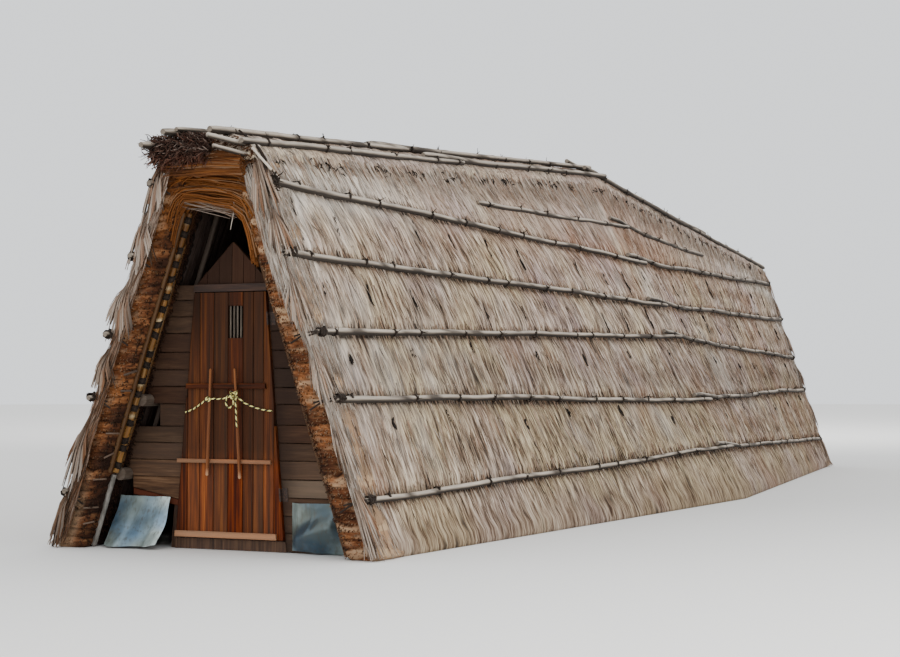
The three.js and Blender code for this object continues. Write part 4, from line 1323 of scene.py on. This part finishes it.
def archStraw(end, number, rng):
    # long straw bent over the opening in layers: x = reach t, and z falls from the top by |t| to the power
    # 6, so that the arch is flat, and slants down to the right. The lowest layers hug the opening, the upper
    # ones run level
    t = np.array([-1, -0.94, -0.84, -0.66, -0.3, 0.1, 0.5, 0.76, 0.9, 1.0])[None, :]
    layer = rng.random((number, 1)) ** 1.3
    depth = rng.uniform(0.0, 0.28, (number, 1)) * (1 - layer)
    reach = mix(0.41, 0.34, layer) + 0.02 * rng.normal(size=(number, 1))
    top = mix(crownLow + 0.02, vergeSeat - 0.01, layer) + 0.006 * rng.normal(size=(number, 1))
    drop = mix(0.40, 0.04, np.minimum(layer * 2.0, 1)) + 0.02 * rng.normal(size=(number, 1))
    # three lips stand out one above the other
    ledge = 0.030 * ease(np.abs(np.mod(layer * 4.5 + 0.1 * t, 1) - 0.5), 0.5, 0.1) - 0.02 * layer
    z = top - drop * np.abs(t) ** 6 - 0.085 * t * (1 - layer) + 0.022 * noise(t * 1.3 + 5, 6 * layer, 71)
    z = z + 0.012 * t * rng.normal(size=(number, 1))
    y = end * (halfLength - 0.005 - depth + ledge + 0.016 * noise(t * 2, 16 * layer, 72))
    centre = stack(reach * t + 0.03 * layer, y, z)
    forward = np.array([0.0, 1.0, 0.0])
    aside = unit(np.cross(unit(np.gradient(centre, axis=1)), forward))
    angle = turns(3)[None, None, :, None]
    size = rng.uniform(0.0045, 0.0095, number)[:, None, None, None]
    points = centre[:, :, None] + size * circle(angle, aside[:, :, None], forward)
    ids = rng.random(number)[:, None, None]
    # painted shade: darker the further back a stalk lies and under each lip; the top layers are darker too
    dark = 0.75 * depth / 0.28 + 0.25 * rng.random((number, 1)) + 0.5 * ease(layer, 0.75, 1.0)
    dark = dark + 0.25 * ease(0.012 - ledge, 0.0, 0.02)
    rust = rng.uniform(0.5, 0.95, (number, 1))
    pale = 0.3 * (rng.random((number, 1)) < 0.12)
    tone = stack(np.clip(dark, 0, 0.9), rust, pale)[:, :, None]
    return shell(points, stack(ids + angle[..., 0] * 0.01, (t * 0.5)[:, :, None], ids), tone)


def underStrands(end, rng):
    # a few loose grey strands that sag across the opening just under the arch
    number = 14
    left, right = (stack(rng.uniform(*x, number), end * (8.36 + 0.05 * rng.random(number)),
                         rng.uniform(*z, number))
                   for x, z in (((-0.30, -0.12), (2.84, 2.92)), ((0.15, 0.33), (2.74, 2.84))))
    bow = stack(0, 0, rng.uniform(-0.004, 0.012, number))
    tone = stack(rng.uniform(0.2, 0.7, number), 0.2, 0.1)
    return stalks(left, right, 0.0032, rng, tone, (0.7, 1, 1, 1, 0.7), bow=bow)


def rollEnds(end, number, rng):
    # the cap's own end: stalks of the rolled straw that point out all round it and droop
    angle = rng.uniform(-0.15, np.pi + 0.15, number)
    inside = np.sqrt(rng.random(number))
    x = capHalf * np.cos(angle) * inside
    z = vergeSeat + 0.015 + hut["rise"][0] * np.sin(angle) * inside
    base = stack(x, end * (halfLength + hut["capOverhang"] - 0.05), z)
    aim = unit(stack(0.35 * x, end, -0.45) + 0.3 * rng.normal(size=(number, 3)))
    tip = base + aim * rng.uniform(0.05, 0.13, number)[:, None]
    tone = stack(rng.uniform(0.3, 0.85, number), rng.uniform(0.0, 0.3, number), 0.2 * rng.random(number))
    return stalks(base, tip, rng.uniform(0.004, 0.007, number), rng, tone, (1, 0.8), bow=(0, 0, -0.01))


def sheafStraw(end, number, rng):
    # a sheaf tied on under the right of the cap's end: straw laid level across it, cut off square on the
    # right
    angle = rng.uniform(0, 2 * np.pi, number)
    radius = 0.094 * np.sqrt(rng.random(number))
    y, z = end * (8.50 + radius * np.cos(angle) * 0.75), 3.18 + radius * np.sin(angle)
    x = 0.355 + 0.02 * rng.random(number)
    base = stack(x - rng.uniform(0.32, 0.75, number), y + 0.01 * rng.normal(size=number),
                 z + 0.02 + 0.01 * rng.normal(size=number))
    tone = stack(rng.uniform(0.2, 0.7, number), rng.uniform(0.2, 0.8, number),
                 0.4 * (rng.random(number) < 0.15))
    return stalks(base, stack(x, y, z), rng.uniform(0.006, 0.010, number), rng, tone, (0.6, 1, 1), 4,
                  (0, 0, 0.012))


def lumpShell(heart, size, seed):
    # an ellipsoid whose radius is raised by noise of its own angles
    polar, angle = np.linspace(0.02, np.pi - 0.02, 26)[:, None], turns(36)[None, :]
    x, y, z = np.sin(polar) * np.cos(angle), np.sin(polar) * np.sin(angle), np.cos(polar) + 0 * angle
    bumps = noise(x * 3 + seed, z * 3 + y * 2, 73) + 0.5 * noise(x * 8 + y * 5, z * 8 + seed, 74)
    points = np.asarray(heart) + stack(x, y, z) * np.asarray(size) * (1 + 0.22 * bumps)[..., None]
    return shell(points[None], stack(angle * 0.1, polar * 0.1, 0.5 + 0.5 * bumps)[None], (0.8, 0.2, 0))


def shaggyClump(end, number, rng):
    # a dark wad of old straw under the pole ends: fine stalks out of a line through its heart, in all
    # directions but mostly to the left and down
    share = rng.random((number, 1))
    heart = mix(np.array([0.08, end * 8.56, 3.33]), np.array([-0.42, end * 8.61, 3.31]), share)
    turn = rng.uniform(0, 2 * np.pi, (number, 1))
    way = np.concatenate([0 * turn, end * np.cos(turn), np.sin(turn)], axis=1)
    out = way * (0.070 + 0.035 * np.sin(share * np.pi)) * rng.uniform(0.6, 1.0, (number, 1))
    base = heart + out + 0.02 * rng.normal(size=(number, 3))
    comb = unit(way * 0.6 + np.array([-0.45, 0, -0.25]) + 0.55 * rng.normal(size=(number, 3)))
    tip = base + comb * rng.uniform(0.03, 0.105, (number, 1))
    tip[:, 2] = np.minimum(tip[:, 2], 3.425 + 0.02 * rng.random(number))
    tip[:, 1] = end * np.minimum(end * tip[:, 1], 8.74)
    kind, low = rng.random(number), ease(3.30 - tip[:, 2], 0, 0.10)
    tone = stack(0.45 * (kind < 0.55) * (1 - 0.6 * low) + 0.08,
                 0.3 * (kind > 0.35) * (kind < 0.65) + 0.4 * low,
                 0.65 * (kind > 0.82) * (1 - low))
    bow = 0.012 * rng.normal(size=(number, 3))
    return stalks(base, tip, rng.uniform(0.0028, 0.0062, number), rng, (0.65, 0.2, 0), (0.8, 1, 0.6), bow=bow,
                  toneTip=tone)


def crownBody(end):
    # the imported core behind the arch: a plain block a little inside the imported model's crown
    z = np.linspace(crownLow + 0.10, vergeSeat - 0.003, 12)
    half = innerAt(0.0, z) - 0.002
    x, z = np.concatenate([half, -half[::-1]])[None], np.concatenate([z, z[::-1]])[None]
    y = end * (halfLength - np.array([[0.02], [0.18], [0.35]]))
    return shell(stack(x, y, z)[None], stack(x, z + 0 * y, 0)[None], (0.6, 0.4, 0.0))


def addRidge():
    rng = np.random.default_rng(37)
    makePiece("ridge_cap_straw", [capShell()], thatchStraw, replaces=["ridge_cap"])
    loose = [capStalks(*capFacts["stalks"], rng), capFringe(*capFacts["fringe"], rng)]
    makePiece("ridge_loose_straw", loose, looseStraw)
    makePiece("cap_knots", capKnots(rng), tieCord)
    for endName, end in ends.items():
        count = {name: int(number * (1.0 if end < 0 else 0.6)) for name, number in crownCounts.items()}
        makePiece(f"crown_{endName}_core", [crownBody(end)], packedStraw, replaces=[f"crown_{endName}"])
        makePiece(f"crown_{endName}_strands", [underStrands(end, rng)], looseStraw)
        straw = [archStraw(end, count["arch"], rng), rollEnds(end, count["roll"], rng),
                 sheafStraw(end, count["sheaf"], rng)]
        makePiece(f"crown_{endName}_straw", straw, packedStraw)
        lumps = [lumpShell((x, end * y, z), size, seed) for (x, y, z), size, seed in crownLumps]
        makePiece(f"ridge_{endName}_clump", lumps + [shaggyClump(end, count["clump"], rng)], oldStraw)


addRidge()


# Cord and rods at the right shoulder, and the one straw that hangs in the opening

cordFacts = {
    "route": ((0.25, -8.37, 3.475), (0.42, -8.385, 3.34), (0.495, -8.40, 3.225), (0.53, -8.425, 3.10),
              (0.55, -8.435, 2.97), (0.50, -8.44, 2.84)),
    # each cord's step aside of the route and its radius
    "cords": (((0, 0, 0), 0.009), ((0.016, 0.012, -0.014), 0.007)),
    # heart, reach and number of its cord ends
    "wad": ((0.57, -8.36, 3.02), (0.02, 0.01, 0.08), 70),
    # from, to and radius
    "stick": ((0.43, -8.47, 3.31), (0.575, -8.40, 3.13), 0.011),
    "straw": ((0.21, -8.38, 2.90), (0.165, -8.36, 2.66), 0.004),
    # the same, the shares of dark, rust and pale, and the id
    "rods": (((0.42, -8.34, 3.325), (0.215, -8.80, 3.385), 0.024, (0, 0, 0.55), 0.2),
             ((0.44, -8.36, 3.235), (0.265, -8.79, 3.295), 0.021, (0.05, 0.1, 0.4), 0.7)),
}


def cordWad(heart, reach, number, rng):
    # short cord ends in a wad: thick stalks out of a small patch, most of them downward
    root = np.asarray(heart) + np.asarray(reach) * rng.uniform(-1, 1, (number, 1))
    root = root + 0.012 * rng.normal(size=(number, 3))
    wild = unit(rng.normal(size=(number, 3)) + np.array([0.3, -0.3, -0.8]))
    tip = root + wild * rng.uniform(0.03, 0.08, (number, 1))
    bow = 0.008 * rng.normal(size=(number, 3))
    return stalks(root, tip, 0.007, rng, (0, 0, 0.1), (0.8, 1, 0.6), bow=bow)


def shoulderRod(root, tip, thick, tone, identity):
    # a short rod tied on under the right shoulder's pole, pointing out over the sheaf, with painted shade on
    # its underside
    part = tube(np.linspace(root, tip, 12), np.linspace(thick, thick - 0.003, 12), 9, tone, identity,
                wobble=0.05)
    middle = part["points"].reshape(12, 9, 3).mean(axis=1).repeat(9, axis=0)
    # painted shade on the underside, and less pale there
    paintedUnderShade = ease((middle - part["points"])[:, 2] / 0.024, -0.2, 0.5)
    part["tone"] = part["tone"] + stack(0.9 * paintedUnderShade, 0, -0.4 * paintedUnderShade)
    return part


def addCords():
    rng = np.random.default_rng(43)
    route = np.array(cordFacts["route"])
    cords = [tube(smoothPath(route + np.array(shift), 60), radius, 7, up=(0, 1, 0))
             for shift, radius in cordFacts["cords"]]
    makePiece("shoulder_cord", cords + [cordWad(*cordFacts["wad"], rng)], tieCord)
    start, stop, radius = cordFacts["stick"]
    stick = tube(np.linspace(start, stop, 8), radius, 8, (0, 0, 0.7), up=(0, 1, 0))
    rods = [shoulderRod(*facts) for facts in cordFacts["rods"]]
    makePiece("shoulder_rods", [stick] + rods, poleWood, sharp=50)
    start, stop, radius = cordFacts["straw"]
    hanging = stalks(np.array([start]), np.array([stop]), radius, rng, (0, 0, 0.4), (1, 1, 0.6), 6,
                     (0.01, 0, 0))
    makePiece("hanging_straw", [hanging], looseStraw)


addCords()


# Gable: planks, posts and logs

gableFacts = {
    "board": 0.155,
    "gap": 0.0022,
    "front": -8.08,
    "back": -8.05,
    "slant": 0.09,
    "logs": {"low": 0.64, "high": 1.27},
    "seams": {
        "left": (0.41, 0.60, 0.745, 0.89, 1.03, 1.22, 1.37, 1.51, 1.66, 1.82, 1.96, 2.10, 2.23),
        "right": (0.0, 0.16, 0.30, 0.45, 0.60, 0.755, 0.90, 1.05, 1.22, 1.36, 1.52, 1.67, 1.83, 1.98, 2.10,
                  2.23),
    },
    # foot of the board beside a log's nose, and where it stops
    "notches": {"left": {0.41: 0.97, 1.03: 0.70}, "right": {1.05: 0.74}},
    "peak": (-0.335, -0.23, -0.115, 0.01, 0.12, 0.235, 0.335),
}
wallFace = gableFacts["front"], gableFacts["back"]


def openingEdge(z):
    return leafEdge(z) + 0.006


def wallEdge(z):
    return innerAt(hut["wallFront"] / halfLength, z) - 0.002


def wallBoards(name, rng):
    # level planks between the seams, from the door opening out to the thatch or to the notch beside a
    # log's nose; the lowest on the left has a slanting foot
    def across(low):
        limit = gableFacts["notches"][name].get(low, 9.0)
        return lambda t, z: sides[name] * mix(openingEdge(z), np.minimum(wallEdge(z), limit), t)

    parts, seams, left = [], gableFacts["seams"][name], name == "left"
    gap, (front, back) = gableFacts["gap"], wallFace
    slant = gableFacts["slant"] * np.linspace(0, 1, 8)
    for low, high in zip(seams[:-1], seams[1:]):
        bottom = low + slant * (left and low == seams[0]) + gap
        shift = rng.uniform(-0.003, 0.003)
        red = 0.35 * float(1.2 < low < 1.8) * rng.random() + 0.2 * rng.random()
        # boards are painted darker higher up: shade under the eaves
        dark = 0.1 * rng.random() + (0.45 * ease(low, 0.9, 1.3) + 0.1 if left else 0.52 * ease(low, 1.0, 1.4))
        part = board(bottom, high - gap, front + shift, back, across(low), rng.random(),
                     (dark, red, 0.15 * rng.random()))
        # painted shade beside the door and over the logs, and on the left painted lighter at the foot
        beside = np.exp(-np.maximum(np.abs(part["points"][:, 0]) - openingEdge(low), 0) / 0.16)
        if left:
            paintedWallShade = 0.12 * beside + 0.42 * ease(low, 0.60, 0.85) * ease(1.3 - low, 0, 0.3)
            paintedWallShade = paintedWallShade - 0.14 * ease(0.7 - low, 0.0, 0.15)
        else:
            paintedWallShade = (0.60 + 0.25 * ease(0.75 - low, 0.0, 0.1)) * beside + 0.30 * ease(low, 0.4, 0.7)
        part["tone"][:, 0] = np.clip(part["tone"][:, 0] + paintedWallShade, 0.0, 0.88)
        part["tone"][:, 2] += 0.3 * (not left) * ease(1.0 - low, 0.0, 0.5) * rng.random()
        parts.append(part)
    if left:
        # a strip of dark red wood under the slanting foot
        foot = seams[0] + slant
        parts.append(board(foot - 0.055, foot - 0.002, front + 0.008, back, across(seams[0]), 0.4,
                           (0.25, 0.95, 0)))
    return parts


def peakBoards(rng):
    # upright planks under a slanting head, which falls from the apex to each side
    parts = []
    seams = gableFacts["peak"]
    for left, right in zip(seams[:-1], seams[1:]):
        top = mix(2.59, 2.235, np.clip(np.abs(np.linspace(left, right, 8) - 0.02) / 0.355, 0, 1))
        # painted shade under the crown, deepest on the left
        dark = 0.62 + 0.20 * (left < -0.02) + 0.12 * (left > 0.2)
        part = board(hut["wallTop"] + 0.001, top, *wallFace,
                     lambda t, z: mix(left + 0.0012, right - 0.0012, t), rng.random(), (dark, 0.35, 0))
        part["flow"] = part["flow"][:, [1, 0, 2]]
        parts.append(part)
    return parts


def rearBoards(rng):
    # level planks across the whole rear gable, cut to the slope at both ends
    parts, z, gap = [], 0.0, gableFacts["gap"]
    front, back = (-face for face in wallFace)
    while z < crownLow - 0.03:
        top = min(z + gableFacts["board"] * rng.uniform(0.85, 1.2), crownLow - 0.001)
        parts.append(board(z + gap, top - gap, front, back, lambda t, z: mix(-wallEdge(z), wallEdge(z), t),
                           rng.random(), (0.1 * rng.random(), 0.3 * rng.random(), 0.15), stations=16))
        z = top
    return parts


def logShell(side, height, seed):
    # a peeled log along the inner face, from nose to nose, with pale sawn ends
    length, lift = halfLength - 0.19, 0.055 + clearance
    y = np.concatenate([np.linspace(-length, 0, 50), np.linspace(0, length, 50)[1:]])
    share = shareOf(y)
    lean = np.arctan(slopeAt(share))
    centre = stack(side * (innerAt(share, height) - np.cos(lean) * lift), y, height - np.sin(lean) * lift)
    part = tube(centre, 0.0545 + 0.002 * noise(y / 0.5, seed, 81), 14, identity=seed * 0.29, wobble=0.03)
    tip = ease(np.abs(part["points"][:, 1]), length - 0.0005, length - 0.0001)
    part["tone"] = stack(0.65, 0.3 + 0.3 * tip, 0)
    return part


def addGable():
    rng = np.random.default_rng(41)
    for name in sides:
        makePiece(f"wall_planks_{name}", wallBoards(name, rng), wallWood, replaces=[f"gable_wall_{name}"],
                  sharp=30)
    makePiece("wall_planks_rear", rearBoards(rng), wallWood, replaces=["gable_wall_rear"], sharp=30)
    makePiece("peak_planks", peakBoards(rng), wallWood, replaces=["peak_boards"], sharp=30)
    seed = 1
    for sideName, side in sides.items():
        for name, height in gableFacts["logs"].items():
            seed += 1
            makePiece(f"purlin_log_{sideName}_{name}", [logShell(side, height, seed)], poleWood,
                      replaces=[f"purlin_{sideName}_{name}"], sharp=50)
    for material, names in ((postWood, ("door_post_right", "door_post_left", "threshold_board")),
                            (lintelWood, ("door_lintel",)), (logWood, ("ridge_beam",)),
                            (ironDark, ("door_hinge_low", "door_hinge_high"))):
        for name in names:
            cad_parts[name].data.materials[0] = material


addGable()


# Door: upright boards, rails, vent and rods

doorFacts = {
    "edges": (-0.525, -0.41, -0.29, -0.155, -0.015, 0.130, 0.23, 0.33, 0.43, 0.525),
    # height, width and reach past the left edge, and the shares of dark, rust and pale
    "rails": (((0.100, 0.052, 0.0), (0, 0, 0.6)), ((0.725, 0.034, 0.032), (0.1, 0.1, 0.4)),
              ((1.350, 0.044, 0.0), (0.5, 0.3, 0.0))),
    "inset": 0.06,
    "railDepth": 0.022,
    "vent": (-0.015, 0.130, 1.775, 2.045),
    "trim": 0.003,
    "gap": 0.0012,
}


def doorBoard(left, right, low, high, rng, tone):
    # an upright board between two lines, cut to the leaf's slanting edge where it meets it
    identity, side = rng.random(), 1 if left + right > 0 else -1
    inner, outer = (left, right) if side > 0 else (-right, -left)
    climb = (leaf["top"] - leaf["bottom"]) / (leaf["halfBottom"] - leaf["halfTop"])
    top = min(high, leaf["bottom"] + (leaf["halfBottom"] - inner - 0.015) * climb)
    depth, level, inDepth, inLevel = boardSection
    trim, gap = doorFacts["trim"], doorFacts["gap"]
    z = mix(low, top, np.linspace(0, 1, 12)[:, None]) + 0 * level
    x = mix(inner + gap, np.minimum(outer, leafEdge(z)) - gap, level) + inLevel * trim
    cup = 0.0015 * noise(z / 0.5 + identity * 9, level, 91) + rng.uniform(-0.001, 0.001)
    y = leaf["front"] + leaf["thickness"] * depth + inDepth * trim + cup
    # dull above the middle rail, with painted shade toward the upper left
    dull = ease(z, 0.72, 0.80)
    dark = tone[0] + 0.34 * dull + 0.10 * ease(z, 1.35, 1.42)
    dark = dark + 0.34 * ease(z, 1.5, 2.1) * ease(-side * x, 0.0, 0.4)
    shade = stack(np.clip(dark, 0, 0.9), np.clip(tone[1] + 0.35 * dull, 0, 0.9), tone[2] * (1 - 0.6 * dull))
    flow = stack(x + identity * 5, z + identity * 3, identity)
    return shell(stack(side * x, y, z)[None], flow[None], shade[None])


def railShell(height, width, reach, rng, tone):
    # a level rail in front of the boards, with its ends on the leaf's slant
    front, back = leaf["front"] - doorFacts["railDepth"], leaf["front"] + 0.001
    return board(height, height + width, front, back,
                 lambda t, z: mix(-leafEdge(z) - reach, leafEdge(z) - doorFacts["inset"], t),
                 rng.random(), tone, stations=14, warp=0.001, trim=0.004)


def rodShell(foot, head):
    # a round rod with rounded ends, pale at its foot
    share = np.concatenate([[0, 0.004, 0.012], np.linspace(0.03, 0.97, 22), [0.988, 0.996, 1]])
    rounding = np.concatenate([[0.35, 0.75, 0.97], np.ones(22), [0.97, 0.75, 0.35]])
    centre = stack(mix(foot[0], head[0], share), rodFacts["line"], mix(foot[1], head[1], share))
    part = tube(centre, rodFacts["radius"] * rounding, 12, identity=0.3, up=(0, 1, 0))
    bare = ease(part["points"][:, 2] - foot[1], 0.04, 0.02)
    part["tone"] = stack(0.25 * (1 - bare), 0, 0.15 + 0.7 * bare)
    return part


def addDoor():
    rng = np.random.default_rng(53)
    left, right, low, high = doorFacts["vent"]
    parts = []
    for a, b in zip(doorFacts["edges"][:-1], doorFacts["edges"][1:]):
        # the leftmost board gets painted shade toward the corner
        tone = (0.2 * rng.random() + 0.3 * (a < -0.5), 0.15 * rng.random(), 0.10 * rng.random() * (a > -0.5))
        # the board with the vent in it has a stretch below and one above
        stretches = [(leaf["bottom"], leaf["top"])]
        if a == left:
            stretches = [(leaf["bottom"], low), (high, leaf["top"])]
        parts += [doorBoard(a, b, *stretch, rng, tone) for stretch in stretches]
    parts += [railShell(*sizes, rng, tone) for sizes, tone in doorFacts["rails"]]
    makePiece("door_boards", parts, doorWood, "door", ["door_leaf"], sharp=30)
    # four grey bars in the vent, open behind
    x, y = np.linspace(left + 0.022, right - 0.022, 4), leaf["front"] + 0.012
    bars = stalks(stack(x, y, low), stack(x, y, high), 0.0085, rng, (0.74, 0, 0.05), (1, 1), 6)
    makePiece("door_vent_bars", [bars], poleWood, "door")
    for name in ("left", "right"):
        makePiece(f"rod_{name}", [rodShell(*rodFacts[name])], doorWood, "door", [f"door_rod_{name}"])


addDoor()


# Bamboo rafters, batten ends, the leaning pipe and the sheets of metal

rafterFacts = {
    "joint": 0.27,
    "tieEvery": 0.121,
    "foot": {"right": 0.02, "left": 0.64},
    "battens": (0.22, 0.37, 0.57, 0.78, 0.96, 1.33, 1.51),
    "battenStart": -8.372,
    # thin rods beside the bamboo: radius, metres behind the verge's front, and the shares of dark, rust
    # and pale
    "rods": ((0.018, 0.235, (0.6, 0.3, 0)), (0.024, 0.070, (0.72, 0.55, 0))),
}


def rafterLine(side, z, radius, back=0.15):
    share = back / halfLength
    x = innerAt(share, z) - (radius + 2 * clearance) * rakeAt(share)
    return stack(side * x, back - halfLength, z)


def bambooShell(side, foot, head, seed):
    # a culm: straight between joints, with a ridge and a pale ring at each
    def atJoint(z, width):
        return hump((z + seed * 0.1) % rafterFacts["joint"], rafterFacts["joint"] / 2, width)

    z = np.linspace(foot, head, 150)
    part = tube(rafterLine(side, z, 0.03), 0.0285 * (1 + 0.09 * atJoint(z, 0.008)), 12, identity=seed * 0.31)
    z = part["points"][:, 2]
    # painted shade toward the top, under the crown: darker and redder, the rings dimmed
    deep = ease(z, 1.9, 2.5)
    dark = 0.35 * ease(noise(z / 0.2, seed, 95), -0.2, 0.7) + 0.5 * deep
    part["tone"] = stack(dark, 0.2 + 0.3 * deep, 0.7 * atJoint(z, 0.014) * (1 - 0.6 * deep))
    return part


def battenEnds(side, rng):
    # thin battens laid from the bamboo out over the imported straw's inner corner
    number = len(rafterFacts["battens"])
    z = np.array(rafterFacts["battens"]) + 0.012 * rng.normal(size=number)
    base = stack(side * (innerAt(0.0, z) - 0.035), rafterFacts["battenStart"], z)
    tip = base + stack(side * rng.uniform(0.06, 0.12, number), -0.058, 0.02 * rng.normal(size=number))
    shade = stack(0.25 + 0.25 * rng.random(number) + 0.3 * (z > 1.2), 0.7, 0.0)
    return stalks(base, tip, rng.uniform(0.007, 0.011, number), rng, shade, (1, 0.9), 7)


def addRafters():
    rng = np.random.default_rng(59)
    head = crownLow - 0.022
    ties = []
    for sideName, side in sides.items():
        foot = rafterFacts["foot"][sideName]
        makePiece(f"bamboo_{sideName}", [bambooShell(side, foot, head, side + 2)], bambooSkin,
                  replaces=[f"bamboo_rafter_{sideName}"])
        if side < 0:
            makePiece("batten_ends_left", [battenEnds(side, rng)], poleWood)
        z = np.linspace(foot, head, 160)
        rods = []
        for radius, back, tone in rafterFacts["rods"]:
            sway = stack(0.006 * noise(z / 0.4, side + 9 * back, 96), 0, 0)
            thick = radius * (1 + 0.1 * noise(z / 0.2, back * 30, 97))
            rods.append(tube(rafterLine(side, z, radius, back) + sway, thick, 9, tone, 0.6))
        makePiece(f"verge_rods_{sideName}", rods, bambooSkin)
        at = np.arange(foot + 0.06, head - 0.04, rafterFacts["tieEvery"])
        at = at + 0.015 * rng.normal(size=len(at))
        axis = unit(rafterLine(side, at + 0.05, 0.03) - rafterLine(side, at - 0.05, 0.03))
        out = spread((0, -1, 0), *axis.shape)
        ties += bands(rafterLine(side, at, 0.03), axis, out, 0.03, rng, width=0.058)
    makePiece("rafter_ties", ties, tieCord)
    z = np.linspace(0.01, 2.82, 60)
    inside = rafterLine(-1, z, 0.145, 0.40) + stack(0.008 * noise(z / 0.5, 4, 94), 0, 0)
    makePiece("inner_rafter_left", [tube(inside, 0.023, 10, (0.88, 0.6, 0.0), 0.4, wobble=0.05)], poleWood,
              sharp=50)
    z = np.linspace(0.008, 0.62, 24)
    pipe = tube(rafterLine(-1, z, 0.024), 0.024 * np.where(z < 0.01, 0.96, 1), 16)
    makePiece("pipe_leaning", [pipe], pipeGrey, replaces=["leaning_pipe"], sharp=50)


sheetFacts = {"thickness": 0.0016, "columns": 36, "rows": 26, "left": (-1.085, -0.578), "right": (0.6, 1.085)}


def sheetShell(x, y, z):
    # a skin of metal: the outer face, then the same face set back by the sheet's thickness
    outer = stack(x, y, z)
    inner = outer + np.array([0, sheetFacts["thickness"], 0])
    loop = np.concatenate([outer, inner[:, ::-1]], axis=1)
    return shell(loop[None], stack(loop[..., 0], loop[..., 2], 0)[None])


def addSheets():
    face = hut["wallFront"] - halfLength
    s = np.linspace(0, 1, sheetFacts["columns"])[:, None]
    t = np.linspace(0, 1, sheetFacts["rows"])[None, :]
    # the left one leans on the wall, its foot forward and waved
    x = mix(*sheetFacts["left"], s) + 0.035 * (1 - t) * noise(s * 2, t * 2, 97)
    low = 0.012 + 0.030 * np.abs(noise(s * 3.3, 0.5, 99)) + 0.02 * ease(s, 0.8, 1)
    z = mix(low, 0.435 - 0.01 * s + 0.006 * noise(s * 6, 0, 98), t)
    y = mix(0.09 - halfLength, face - 0.006, t) + 0.025 * np.sin(t * np.pi)
    y = y + 0.014 * noise(s * 3, t * 2.4, 100)
    y = np.minimum(y - 0.03 * (1 - t) ** 2 * ease(np.sin(s * 9.0), 0.1, 0.9), face - 0.004)
    makePiece("metal_sheet_left", [sheetShell(x, y, z)], zinc, replaces=["base_sheet_left"], sharp=40)
    # the right one's foot curls back under a ridge that climbs to the right, and its top leans back to
    # the wall
    x = mix(*sheetFacts["right"], s)
    z = mix(0.004 + 0.03 * ease(noise(s * 3, 0.2, 102), 0, 1), 0.415 + 0.008 * noise(s * 5, 0, 103), t)
    swell = np.interp(s, [0, 0.16, 0.4, 0.62, 0.85, 1], [0.0, 0.095, 0.15, 0.165, 0.13, 0.06])
    ridge = 0.17 + 0.46 * s
    belly = mix(0.12, 1.08, np.clip(t / ridge, 0, 1) ** 0.85) * mix(1.0, 0.42, ease(t, ridge, ridge + 0.38))
    y = face - 0.006 - swell * belly - 0.012 * noise(s * 4, t * 3, 101) * ease(s, 0.02, 0.1)
    # a seam down its upper half
    y = y - 0.010 * hump(s, 0.42 + 0.05 * t, 0.025) * ease(t, ridge + 0.02, ridge + 0.15)
    makePiece("metal_sheet_right", [sheetShell(x, y, z)], zinc, replaces=["base_sheet_right"], sharp=40)


addRafters()
addSheets()
